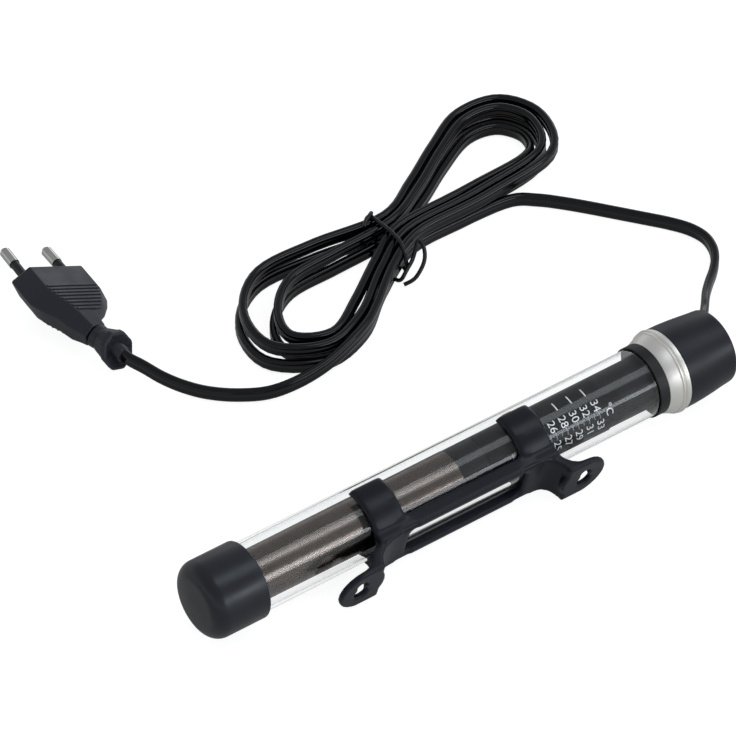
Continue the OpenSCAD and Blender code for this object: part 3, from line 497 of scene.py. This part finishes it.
class HEATER_OT_stage(HeaterOperator, Operator):
    """Camera, pale floor, soft lamps and world"""
    bl_idname = "heater.stage"
    bl_label = "Stage"

    # The camera's place in millimetres, the direction back towards it, and its sensor and lens
    CAMERA_AT = Vector((-754.0, -975.2, 1160.65))
    CAMERA_BACK = Vector((-0.4408, -0.6036, 0.6643))
    SENSOR, LENS = 36, 244.57
    # Each lamp's place, what it aims at, its width along X and its height in metres, and its power in watts
    LAMPS = (("Top softbox", (0.6, -0.26, 1.2), (0.0, 0.05, 0.0), 1.4, 0.5, 3.4),
             ("Front strip", (0.66, -1.28, 0.47), (0.0, 0.05, 0.0), 1.8, 0.28, 6.5),
             ("Back softbox", (2.0, 1.7, 0.45), (0.0, 0.1, 0.0), 1.6, 0.7, 3))

    def execute(self, context):
        scene = context.scene
        scene.view_settings.view_transform = "Standard"
        data = bpy.data.cameras.new("Camera")
        data.sensor_width = self.SENSOR
        data.lens = self.LENS
        data.clip_start, data.clip_end = 0.1, 20
        camera = bpy.data.objects.new("Camera", data)
        camera.location = self.CAMERA_AT * MM
        camera.rotation_euler = (-self.CAMERA_BACK).to_track_quat("-Z", "Y").to_euler()
        scene.collection.objects.link(camera)
        scene.camera = camera
        self.floor(scene)
        self.lamps(scene)
        self.world(scene)
        return {"FINISHED"}

    @staticmethod
    def floor(scene):
        """Pale floor a hair under the object, which takes its shadow."""
        half, height, grey, strength = 6.0, -0.0002, (0.4, 0.4, 0.4, 1), 0.9
        bm = bmesh.new()
        bmesh.ops.create_grid(bm, x_segments=1, y_segments=1, size=half)
        mesh = as_mesh("Floor", bm)
        mat, tree, shader = plain("White paper sweep", {
            "Base Color": grey, "Roughness": 0.9, "Specular IOR Level": 0.1, "Emission Color": (1, 1, 1, 1)})
        pale = background(tree, mirrored=0.25, walled=1.0)
        glow = add_node(tree, "ShaderNodeMath", {0: pale, 1: strength}, operation="MULTIPLY")
        tree.links.new(glow.outputs[0], shader.inputs["Emission Strength"])
        mesh.materials.append(mat)
        floor = bpy.data.objects.new("Floor", mesh)
        floor.location.z = height
        scene.collection.objects.link(floor)

    def lamps(self, scene):
        """Soft lamps, each with its long side along the tube."""
        for name, place, aim, width, height, power in self.LAMPS:
            data = bpy.data.lights.new(name, "AREA")
            data.shape = "RECTANGLE"
            data.size, data.size_y = width, height
            data.energy = power
            data.color = COOL_WHITE
            lamp = bpy.data.objects.new(name, data)
            lamp.location = place
            back = (lamp.location - Vector(aim)).normalized()
            side = (Vector((1, 0, 0)) - back * back.x).normalized()
            lamp.rotation_euler = Matrix((side, back.cross(side), back)).transposed().to_euler()
            scene.collection.objects.link(lamp)

    @staticmethod
    def world(scene):
        """White for the camera; mirrored rays see a white backdrop near the horizon and a dim ceiling."""
        ceiling = 0.38
        world = bpy.data.worlds.new("Studio")
        world.use_nodes = True
        tree = world.node_tree
        where = add_node(tree, "ShaderNodeTexCoord").outputs["Generated"]
        height = add_node(tree, "ShaderNodeSeparateXYZ", {0: where}).outputs["Z"]
        low = add_node(tree, "ShaderNodeMapRange", {"Value": height, "From Min": 0.05, "From Max": 0.45,
                                                    "To Min": 0.7, "To Max": 0.0}).outputs["Result"]
        level = add_node(tree, "ShaderNodeMix", {0: background(tree, low, walled=0.0), 2: ceiling, 3: 1.0})
        tint = add_node(tree, "ShaderNodeMix", {0: level.outputs[0], 6: (*COOL_WHITE, 1), 7: (1, 1, 1, 1)},
                        data_type="RGBA")
        back = tree.nodes["Background"]
        tree.links.new(tint.outputs[2], back.inputs["Color"])
        tree.links.new(level.outputs[0], back.inputs["Strength"])
        scene.world = world


class HEATER_OT_cord(HeaterOperator, Operator):
    """Flat two-core cord from the strain relief through the hank to the plug's boot"""
    bl_idname = "heater.cord"
    bl_label = "Cord"

    RIBS, RIB_FROM, RIB_PITCH, GROOVE_R = 5, 2.4, 2.5, 2.75  # the strain relief's ribs
    FLATTENED = 0.3  # how much of its thickness it loses towards the cord

    def execute(self, context):
        sizes, colours = self.groups(context)
        # Extruded soft PVC: near black, oily gloss, faint marks of the die along its length.
        sheath = surface("Soft PVC, extruded", colours.cord, 0.13, 0.5, 0.002, uneven=0.04, patch=6,
                         stretch=(18, 1, 1), sheath=True, Specular_IOR_Level=0.38)
        width, thickness = sizes.cord_width / MM, sizes.cord_thickness / MM
        outline = flat_cord_outline(width, thickness, sizes.cord_groove / MM)
        route = cord_route()
        rings = [ring_round(p, t, outline) for p, t in zip(route, headings(route))]
        bm = bmesh.new()
        mark = bm.verts.layers.float_vector.new("sheath")
        loft(rings, bm)
        bm.verts.ensure_lookup_table()
        run = 0.0
        for i, p in enumerate(route):
            run += (p - route[i - 1]).length if i else 0.0
            for k, (a, b) in enumerate(outline):
                bm.verts[i * len(outline) + k][mark] = Vector((run, a, b)) * MM
        cord = piece("mains_cord", bm, sheath, ("cord_lead", "cord_hank", "cord_tail"),
                     sharp=60)
        others = [self.strain_relief(colours), self.tie(sizes)]
        return {"FINISHED"}

    def strain_relief(self, colours):
        """Ribbed taper that flattens towards the cord."""
        rubber = surface("Thermoplastic rubber, moulded", colours.cord, 0.42, 0.3, 0.008)
        stations = [(-6, 3.4), (0.2, 3.4), (1.2, 3.4)]
        for i in range(self.RIBS):
            at = self.RIB_FROM + i * self.RIB_PITCH
            stations += [(at, 3.38 - i * 0.04), (at + 0.3, self.GROOVE_R), (at + 0.9, self.GROOVE_R),
                         (at + 1.2, 3.36 - i * 0.04)]
        stations += [(GRIP_L - 1.2, 3.15), (GRIP_L - 0.3, 3.0), (GRIP_L, 2.75)]
        rings = []
        for at, radius in stations:
            flat = 1 - self.FLATTENED * max(0, at) / GRIP_L
            outline = [(a * flat, b) for a, b in round_outline(radius, 40)]
            rings.append(ring_round(GRIP_ROOT + GRIP_DIR * at, GRIP_DIR, outline))
        return piece("strain_relief", loft(rings), rubber, ("cord_grommet",), sharp=50)

    @staticmethod
    def tie(sizes):
        """Wire tie: one and a half turns round the waist, with two curled ends."""
        # Wire with a thin PVC coat, bent by hand: dull black.
        coat = surface("PVC-coated wire", linear("08090B"), 0.38, 0.4, 0.01)
        path = through(TIE_ROUTE[1:-1], Vector(TIE_ROUTE[0]), Vector(TIE_ROUTE[-1]))
        outline = round_outline(sizes.tie_thickness / 2 / MM, 12)
        side, rings = Vector((0, 0, 1)), []
        for p, t in zip(path, headings(path)):
            side = (side - t * side.dot(t)).normalized()
            up = t.cross(side)
            rings.append([(p + side * a + up * b) * MM for a, b in outline])
        return piece("wire_tie", loft(rings), coat, ("twist_tie",), sharp=60)


class HEATER_OT_plug(HeaterOperator, Operator):
    """Flat two-pin plug with its boot, pins and sleeves"""
    bl_idname = "heater.plug"
    bl_label = "Plug"

    # Sections: distance behind the front face, and shares of the full width, flat width and thickness
    SECTIONS = ((0, 0.95, 0.95, 0.9), (0.7, 1, 1, 1), (PLUG_L, 1, 1, 1), (18.6, 0.86, 0.86, 0.985),
                (23.5, 0.62, 0.62, 0.93), (28, 0.41, 0.34, 0.875))
    # Where the body runs into the boot: distance in front of the boot's root, and size
    ROOT_SECTIONS = ((6.5, 5.9), (2.6, 4.9), (0, 4.4))
    # The grip's ribs; each is a share of the flat face's width, and sunk into it
    RIBS, RIB_FROM, RIB_PITCH = 8, 12.6, 1.9
    RIB_SHARE, RIB_L, RIB_H, RIB_SUNK = 0.94, 0.9, 0.8, 0.06
    # The collar's rings: distance behind the body, radius, how far eight-sided, and tilt upwards
    COLLAR = ((0.1, 4.5, 0, 0), (2.2, 4.3, 0, 0), (2.8, 4.0, 0, 0), (3.2, 4.6, 0.2, 0.1), (8.4, 6.6, 1, 0.4),
              (9.0, 7.1, 1, 0.5), (10.6, 7.2, 1, 0.5), (10.9, 6.9, 1, 0.5), (10.9, 6.2, 1, 0.5),
              (10.5, 5.9, 1, 0.5), (10.4, 3.2, 0, 0.4), (13.0, 2.9, 0, 0.1), (13.5, 2.6, 0, 0))
    COLLAR_POINTS, COLLAR_SIDES = 48, 8

    def execute(self, context):
        _, colours = self.groups(context)
        # PVC moulded over the pins: black with a cool cast, satin, fine eroded texture.
        vinyl = surface("PVC, overmoulded", colours.plug, 0.4, 0.25, 0.012, uneven=0.07)
        place = (Matrix.Translation(PLUG_AT * MM)
                 @ Matrix.Rotation(math.radians(PLUG_HEADING - 90), 4, "Z")
                 @ Matrix.Rotation(math.radians(PLUG_LEAN), 4, "Y") @ Matrix.Scale(MM, 4))
        round_edges(piece("plug_shell", self.shell(place), vinyl, ("plug_body",)), 0.7)
        round_edges(piece("plug_grip", self.grip(place), vinyl), 0.15, 2)
        round_edges(piece("plug_cuff", self.cuff(), vinyl, ("plug_boot",), sharp=25), 0.3, 2,
                    angle=20)
        # Nickel-plated brass, turned and polished: bright, with sharp dark and light streaks.
        nickel = surface("Nickel-plated brass, turned", linear("C9C8C4"), 0.1, 0.4, 0.001, uneven=0.03,
                         Metallic=1.0)
        round_edges(piece("contact_pins", merged_copy("plug_pins"), nickel, ("plug_pins",)),
                    0.3)
        nylon = surface("Nylon sleeve", linear("0C0D10"), 0.35, 0.3, 0.004)
        round_edges(piece("insulating_sleeves", merged_copy("pin_sleeves"), nylon,
                          ("pin_sleeves",)), 0.1, 2)
        return {"FINISHED"}

    @staticmethod
    def outline(w, flat, t):
        """Six-sided section of the plug, as (across, up)."""
        return [(-w / 2, 0), (-flat / 2, -t / 2), (flat / 2, -t / 2),
                (w / 2, 0), (flat / 2, t / 2), (-flat / 2, t / 2)]

    def shell(self, place):
        """Body that tapers into the boot's root."""
        rings = []
        for y, w, flat, t in self.SECTIONS[:-1]:
            outline = self.outline(PLUG_W * w, PLUG_FLAT * flat, PLUG_T * t)
            rings.append([place @ Vector((a, -y, b)) for a, b in outline])
        for front, size in self.ROOT_SECTIONS:
            centre = BOOT_ROOT + BOOT_DIR * front * 0.75 + direction(PLUG_HEADING, 0) * front * 0.25
            outline = self.outline(size * 2.3, size * 1.25, size * 1.85)
            side = (Matrix.Rotation(math.radians(PLUG_HEADING - 90 + 10), 3, "Z")
                    @ Matrix.Rotation(math.radians(PLUG_LEAN), 3, "Y"))
            rings.append([(centre + side @ Vector((a, 0, b))) * MM for a, b in outline])
        return loft(rings)

    def grip(self, place):
        """Fine ribs across the tapering part of both flat faces."""
        bm = bmesh.new()
        for k in range(self.RIBS):
            y = self.RIB_FROM + k * self.RIB_PITCH
            before, after = [(a, b) for a, b in zip(self.SECTIONS, self.SECTIONS[1:]) if a[0] <= y][-1]
            f = (y - before[0]) / (after[0] - before[0])
            flat, thick = (before[i] + (after[i] - before[i]) * f for i in (2, 3))
            size = Matrix.Diagonal((PLUG_FLAT * flat * self.RIB_SHARE, self.RIB_L, self.RIB_H, 1))
            for side in (-1, 1):
                spot = Matrix.Translation((0, -y, side * (PLUG_T / 2 * thick - self.RIB_SUNK)))
                bmesh.ops.create_cube(bm, size=1.0, matrix=place @ spot @ size)
        return bm

    def cuff(self):
        """Eight-sided collar round the cord's exit; its rear face is tilted upwards."""
        side = math.tau / self.COLLAR_SIDES
        rings = []
        for at, radius, sides, tilt in self.COLLAR:
            outline = []
            for a, b in round_outline(1, self.COLLAR_POINTS):
                angle = math.atan2(b, a)
                corner = math.cos(side / 2) / math.cos((angle % side) - side / 2)
                r = radius * (1 + sides * (corner - 1))
                outline.append((r * a, r * b))
            facing = (Vector((0, 0, tilt)) - BOOT_DIR).normalized()
            rings.append(ring_round(BOOT_ROOT - BOOT_DIR * at, facing, outline))
        return loft(rings)


class HEATER_OT_tube(HeaterOperator, Operator):
    """Glass tube and its rubber bottom cap"""
    bl_idname = "heater.tube"
    bl_label = "Tube and bottom cap"

    def execute(self, context):
        sizes, colours = self.groups(context)
        wall, end, inner_end = sizes.glass_wall / MM, 4, 3
        bore = GLASS_R - wall
        glass = turn([(GLASS_FROM, 0)] + arc(GLASS_FROM + end, GLASS_R - end, end, 180, 90)
                     + arc(GLASS_TO - wall / 2, GLASS_R - wall / 2, wall / 2, 90, -90)
                     + arc(GLASS_FROM + end, bore - inner_end, inner_end, 90, 180)
                     + [(GLASS_FROM + wall - 0.2, 0)], sizes.turned_steps, closed=False)
        clear = clear_glass("Borosilicate glass, drawn", (0.985, 0.99, 0.99))
        piece("tube", glass, clear, ("glass_tube",))
        # Silicone rubber, moulded: soft black with a dull sheen and a faint bloom.
        rubber = surface("Silicone rubber, moulded", colours.cap_rubber, 0.33, 0.35, 0.006, uneven=0.07,
                         patch=14, Specular_IOR_Level=0.45)
        _, cap_l, cap_r = span("bottom_cap")
        corner, dome, rim = 5.5, 0.5, 0.7
        cap = turn([(0, 0), (dome / 4, (cap_r - corner) / 2)]
                   + arc(corner + dome, cap_r - corner, corner, 180, 90, 12)
                   + arc(cap_l - rim, cap_r - rim, rim, 90, 0, 4) + [(cap_l, GLASS_R + SNUG)]
                   + arc(GLASS_FROM + end - SNUG, GLASS_R - end + SNUG, end, 90, 180)
                   + [(GLASS_FROM - SNUG, 0)], sizes.turned_steps, closed=False)
        piece("rubber_cap", cap, rubber, ("bottom_cap",))
        paint("bottom_cushion", "Silicone foam", "6B6B6B", 0.8, 0.6, 0.05)
        return {"FINISHED"}


class HEATER_OT_core(HeaterOperator, Operator):
    """Metal sleeve, ceramic core, coil and washers"""
    bl_idname = "heater.core"
    bl_label = "Heating core"

    def execute(self, context):
        sizes, colours = self.groups(context)
        # Steel tube, drawn and heat-darkened: gunmetal with long soft streaks.
        steel = surface("Steel, drawn and heat-darkened", colours.metal_sleeve, 0.22, 2.0, 0.0005,
                        uneven=0.02, shade=0.1, patch=3, stretch=(60, 1, 1), Metallic=1.0)
        near, far, r = span("heat_sleeve")
        sleeve = turn([(near, r - 1.1), (near, r - 0.25), (near + 0.3, r), (far - 0.15, r), (far, r - 0.15),
                       (far, r - 0.5), (near + 0.5, r - 0.5), (near + 0.5, r - 1.1)], sizes.turned_steps)
        piece("steel_sleeve", sleeve, steel, ("heat_sleeve",))
        paint("ceramic_core", "Steatite ceramic, pressed", "EDE8DC", 0.6, 0.2, 0.01)
        paint("core_washers", "Mica board", "C9B78F", 0.5, 1.2, 0.03, shade=0.25, stretch=(1, 4, 4))
        paint("heating_coil", "Nichrome wire, drawn", "8F867E", 0.35, 0.4, 0.003, Metallic=1.0)
        return {"FINISHED"}


class HEATER_OT_thermostat(HeaterOperator, Operator):
    """Carrier, printed scale card, pointer, screw and contacts"""
    bl_idname = "heater.thermostat"
    bl_label = "Thermostat"

    PITCH, TOP = 4.6, 11.3  # from number to number, and from the card's end to the first
    COLUMNS = ((47.0, 34), (3.6, 33))  # each column's angle and highest number
    COLUMN_L, TICKS, DASHES, DASH_PITCH = 8, 17, 3, 6.0
    UNIT_AT, UNIT_ANGLE, TICK_ANGLE, DASH_ANGLE = 4.4, 28.0, 25.5, 84.0

    def execute(self, context):
        sizes, colours = self.groups(context)
        # ABS, injection moulded in a polished tool: black, softly glossy behind the glass.
        gloss = surface("ABS, polished tool", colours.carrier, 0.45, 0.4, 0.0006, uneven=0.04,
                        Specular_IOR_Level=0.3)
        piece("carrier", merged_copy("thermostat_carrier"), gloss, ("thermostat_carrier",))
        # Polyester film, screen printed: deeper black, slightly duller.
        film = surface("Polyester film, black", linear("0A0B0E"), 0.5, 0.3, 0.0006, uneven=0.03,
                       Specular_IOR_Level=0.25)
        piece("card", merged_copy("scale_card"), film, ("scale_card",))
        self.print_scale(sizes, colours)
        red = surface("ABS, red", colours.pointer, 0.3, 0.4, 0.004)
        round_edges(piece("pointer", merged_copy("setting_pointer"), red, ("setting_pointer",),
                          body="pointer"), 0.15, 2)
        metal, rolled = {"Metallic": 1.0}, {"Metallic": 1.0, "stretch": (12, 1, 1)}
        paint("setting_screw", "Brass, turned", "C9A050", 0.28, 0.3, 0.01, stretch=(0.3, 1, 1), **metal)
        paint("bimetal_strip", "Bimetal strip, rolled", "B39A66", 0.35, 0.5, 0.004, **rolled)
        paint("fixed_contact", "Nickel silver, rolled", "B6B2A6", 0.33, 0.5, 0.004, **rolled)
        paint("contact_points", "Silver contact", "E3E3DF", 0.22, 0.4, 0.004, **metal)
        paint("contact_magnet", "Ferrite, sintered", "3B3C40", 0.55, 0.2, 0.01)
        paint("lead_wires", "Glass-fibre sleeving, woven", "E6E3D8", 0.7, 0.5, 0.05)
        return {"FINISHED"}

    @staticmethod
    def lettering(text, size, thick):
        """A word in the XY plane, centred on the origin, as a bmesh."""
        curve = bpy.data.curves.new("lettering", "FONT")
        curve.body = text
        curve.size = size
        curve.extrude = thick / 2
        curve.align_x, curve.align_y = "CENTER", "CENTER"
        bm = baked(bpy.data.objects.new("lettering", curve))
        bpy.data.curves.remove(curve)
        bmesh.ops.remove_doubles(bm, verts=bm.verts[:], dist=SAME_POINT)
        return bm

    @staticmethod
    def dash(long, wide, thick):
        """A printed line across the tube, as a bmesh."""
        bm = bmesh.new()
        bmesh.ops.create_cube(bm, size=1.0, matrix=Matrix.Diagonal((long, wide, thick, 1)))
        return bm

    @staticmethod
    def wrap(bm, into, station, angle, radius):
        """Bend flat print round the tube and add it to another bmesh."""
        reach = max((abs(v.co.x) for v in bm.verts), default=0)
        step = 0.5 * MM
        cuts = math.ceil(reach / step)
        for k in range(-cuts, cuts + 1):
            bmesh.ops.bisect_plane(bm, geom=bm.verts[:] + bm.edges[:] + bm.faces[:], dist=1e-8,
                                   plane_co=(k * step, 0, 0), plane_no=(1, 0, 0))
        for v in bm.verts:
            turned = angle - math.degrees(v.co.x / (radius * MM))
            v.co = on_tube(station + v.co.y / MM, radius + v.co.z / MM, turned)
        mesh = as_mesh("wrapped", bm)
        into.from_mesh(mesh)
        bpy.data.meshes.remove(mesh)

    def print_scale(self, sizes, colours):
        """Raised ink on the card: two columns of even and odd numbers, ticks, the unit and three dashes."""
        # Screen-printed epoxy ink: slightly raised, matt.
        white = surface("Epoxy ink, white", colours.print, 0.45, 0.15, 0.004)
        grey = surface("Epoxy ink, grey", colours.ticks, 0.45, 0.15, 0.004)
        ink, level = 0.05 * MM, CARD_R + 0.03
        font = sizes.digit_height * 1.4
        numbers, ticks = bmesh.new(), bmesh.new()
        top = CARD_TO - self.TOP
        for k in range(self.COLUMN_L):
            for angle, first in self.COLUMNS:
                word = self.lettering(str(first - 2 * k), font, ink)
                self.wrap(word, numbers, top - k * self.PITCH, angle, level)
        unit = self.lettering("°C", font * 0.95, ink)
        self.wrap(unit, numbers, top + self.UNIT_AT, self.UNIT_ANGLE, level)
        for k in range(self.TICKS):
            tick = self.dash((1.7 if k % 2 else 2.6) * MM, 0.35 * MM, ink)
            self.wrap(tick, ticks, top + 0.4 - k * self.PITCH / 2, self.TICK_ANGLE, level)
        for k in range(self.DASHES):
            mark = self.dash(3.4 * MM, 0.45 * MM, ink)
            self.wrap(mark, numbers, top - 1.3 - k * self.DASH_PITCH, self.DASH_ANGLE, level)
        piece("scale_numbers", numbers, white, sharp=30)
        piece("scale_ticks", ticks, grey, sharp=30)


class HEATER_OT_upper_end(HeaterOperator, Operator):
    """Stopper, seal ring, aluminium collar, top cap and setting knob"""
    bl_idname = "heater.upper_end"
    bl_label = "Upper end"

    def execute(self, context):
        sizes, colours = self.groups(context)
        steps = sizes.turned_steps
        rubber = paint("tube_stopper", "EPDM rubber, moulded", "0C0D10", 0.5, 0.3, 0.01)
        cover("knob_seal", rubber)
        near, far, r = span("seal_ring")
        inner, lip = GLASS_R + SNUG, 0.25
        seal = turn([(near, inner)] + arc(near + lip, r - lip, lip, 180, 90, 4) + [(far, r), (far, inner)],
                    steps)
        piece("seal", seal, rubber, ("seal_ring",))
        # Aluminium, turned and left bare: bright satin with fine rings from the tool.
        alu = surface("Aluminium, turned", colours.aluminium, 0.42, 0.35, 0.006, uneven=0.04, shade=0.06,
                      stretch=(0.35, 40, 40), Metallic=1.0)
        near, far, r = span("collar")
        cap_r = span("top_cap")[2]
        collar = turn([(near, inner), (near, inner + 0.45), (near + 0.15, inner + 0.6), (near + 0.5, 13.35),
                       (near + 2.4, 14.1), (near + 4.5, 14.65)] + arc(near + 4.95, 14.75, 0.5, 150, 30, 5)
                      + [(near + 5.5, 14.75)] + arc(near + 6.2, r - 0.55, 0.55, 160, 20, 5)
                      + [(far - 0.75, cap_r + 0.02), (far, cap_r), (far, inner)], steps)
        piece("flange_collar", collar, alu, ("collar",), sharp=45)
        self.top_cap(colours, steps, inner)
        knob = surface("Polypropylene, moulded", colours.cap_plastic, 0.4, 0.25, 0.01)
        round_edges(piece("dial", merged_copy("setting_knob"), knob, ("setting_knob",),
                          body="knob"), 0.2)
        return {"FINISHED"}

    @staticmethod
    def top_cap(colours, steps, inner):
        """Slightly barrelled cap with a recess for the dial."""
        # Polypropylene, moulded and lightly textured: black with a cool cast, satin.
        plastic = surface("Polypropylene, fine texture", colours.cap_plastic, 0.42, 0.3, 0.01, uneven=0.06,
                          patch=20, Specular_IOR_Level=0.4)
        near, far, r = span("top_cap")
        end_wall, room_r, end_r, edge = 5.5, 10.3, 13.7, 1.4
        recess_r, recess_l, recess_y, recess_points = 4.75, 2.45, -4.8, 48
        barrel = [(near, r - 0.25), (near + 0.3, r), (near + 5, r - 0.1), (near + 9, r - 0.35),
                  (near + 13, r - 0.72), (near + 17, r - 1.18), (far - edge - 0.4, end_r + 0.06)]
        bm = turn([(far - end_wall, 0), (far - end_wall, room_r), (GLASS_TO + 0.5, room_r),
                   (GLASS_TO + 0.5, inner), (near, inner)] + barrel
                  + arc(far - edge, end_r - edge, edge, 80, 0, 8), steps, closed=False)
        rim = [e for e in bm.edges if e.is_boundary]
        ring = []
        for i in range(recess_points):
            a = math.tau * i / recess_points
            ring.append(bm.verts.new((START + far * MM, AXIS.y + (recess_y + recess_r * math.cos(a)) * MM,
                                      AXIS.z + recess_r * math.sin(a) * MM)))
        loop = [bm.edges.new(pair) for pair in zip(ring, ring[1:] + ring[:1])]
        bmesh.ops.triangle_fill(bm, use_beauty=True, edges=rim + loop)
        wall = bmesh.ops.extrude_edge_only(bm, edges=loop)["geom"]
        floor = [g for g in wall if isinstance(g, bmesh.types.BMVert)]
        floor_edges = [e for e in bm.edges if e.is_boundary and set(floor).issuperset(e.verts)]
        bmesh.ops.translate(bm, verts=floor, vec=(-recess_l * MM, 0, 0))
        bmesh.ops.contextual_create(bm, geom=floor_edges)
        settle(bm)
        round_edges(piece("cable_cap", bm, plastic, ("top_cap",)), 0.12, 2)


class HEATER_OT_bracket(HeaterOperator, Operator):
    """Clip-on bracket with its rails, rings and keyhole ears"""
    bl_idname = "heater.bracket"
    bl_label = "Bracket"

    TILT = math.radians(16.3)  # how far the bracket is turned down from the level
    EAR_SHIFT = 2.4  # how far the pair of ears sits towards the closed end
    SKIN = 0.35  # what lies this close to the glass keeps its place
    RING_H, RING_ANGLE = 2.6, 45  # the rings: height over the glass, and angle from the front
    ROOT_FROM, ROOT_TO, ROOT_ANGLE = 21.5, 28.5, 75  # the rings' roots: from the middle, and angle
    PASSES, RING_PASSES, ROOT_PASSES = 14, 40, 45  # passes of smoothing

    def execute(self, context):
        sizes, colours = self.groups(context)
        # Polypropylene, moulded, every edge eased: black with a cool cast, satin.
        plastic = surface("Polypropylene, moulded satin", colours.bracket, 0.36, 0.3, 0.006, uneven=0.06,
                          patch=16, Specular_IOR_Level=0.3)
        bm = merged_copy("bracket")
        bmesh.ops.triangulate(bm, faces=bm.faces[:])
        mesh = as_mesh("coarse", bm)
        obj = bpy.data.objects.new("coarse", mesh)
        remesh = obj.modifiers.new("Even faces", "REMESH")
        remesh.mode = "VOXEL"
        remesh.voxel_size = sizes.bracket_detail
        bm = baked(obj)
        bpy.data.meshes.remove(mesh)
        if not bm.faces:
            raise RuntimeError("the bracket could not be remeshed")
        # The rings' edges are rounder than the rest, and their roots run into the rails with a hollow curve.
        low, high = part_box("bracket")
        middle = (low.x + high.x) / 2 + self.EAR_SHIFT * MM
        free, rings, roots = [], [], []
        for v in bm.verts:
            radius, angle = self.from_axis(v)
            if radius > GLASS_R + self.SKIN:
                free.append(v)
                if radius < GLASS_R + self.RING_H and angle > self.RING_ANGLE:
                    rings.append(v)
                if self.ROOT_FROM < abs(v.co.x - middle) / MM < self.ROOT_TO and angle < self.ROOT_ANGLE:
                    roots.append(v)
        for verts, passes in ((free, self.PASSES), (rings, self.RING_PASSES), (roots, self.ROOT_PASSES)):
            for _ in range(passes):
                bmesh.ops.smooth_vert(bm, verts=verts, factor=0.5, use_axis_x=True, use_axis_y=True,
                                      use_axis_z=True)
        piece("wall_bracket", bm, plastic, ("bracket",), body="bracket", sharp=80)
        return {"FINISHED"}

    def from_axis(self, vert):
        """A point's distance from the tube's axis in millimetres and its angle from the bracket's front."""
        across = Vector((vert.co.y - AXIS.y, vert.co.z - AXIS.z))
        front = Vector((-math.cos(self.TILT), -math.sin(self.TILT)))
        return across.length / MM, math.degrees(across.angle(front))


class HEATER_PT_panel(Panel):
    """Lists the heater's operators, sizes and colours"""
    bl_idname = "HEATER_PT_panel"
    bl_label = "Aquarium heater"
    bl_space_type = "VIEW_3D"
    bl_region_type = "UI"
    bl_category = "Heater"

    def draw(self, context):
        for operator in OPERATORS:
            self.layout.operator(operator.bl_idname)
        for group in (context.scene.heater_sizes, context.scene.heater_colours):
            column = self.layout.column()
            for key in group.__annotations__:
                column.prop(group, key)


OPERATORS = (HEATER_OT_stage, HEATER_OT_plug, HEATER_OT_cord, HEATER_OT_tube, HEATER_OT_core,
             HEATER_OT_thermostat, HEATER_OT_upper_end, HEATER_OT_bracket)
CLASSES = (HeaterSizes, HeaterColours) + OPERATORS + (HEATER_PT_panel,)


def register():
    for cls in CLASSES:
        bpy.utils.register_class(cls)
    bpy.types.Scene.heater_sizes = PointerProperty(type=HeaterSizes)
    bpy.types.Scene.heater_colours = PointerProperty(type=HeaterColours)


def unregister():
    del bpy.types.Scene.heater_colours
    del bpy.types.Scene.heater_sizes
    for cls in reversed(CLASSES):
        bpy.utils.unregister_class(cls)


def main():
    """Make the whole scene."""
    register()
    for operator in OPERATORS:
        group, name = operator.bl_idname.split(".")
        getattr(getattr(bpy.ops, group), name)()


if __name__ == "__main__":
    main()
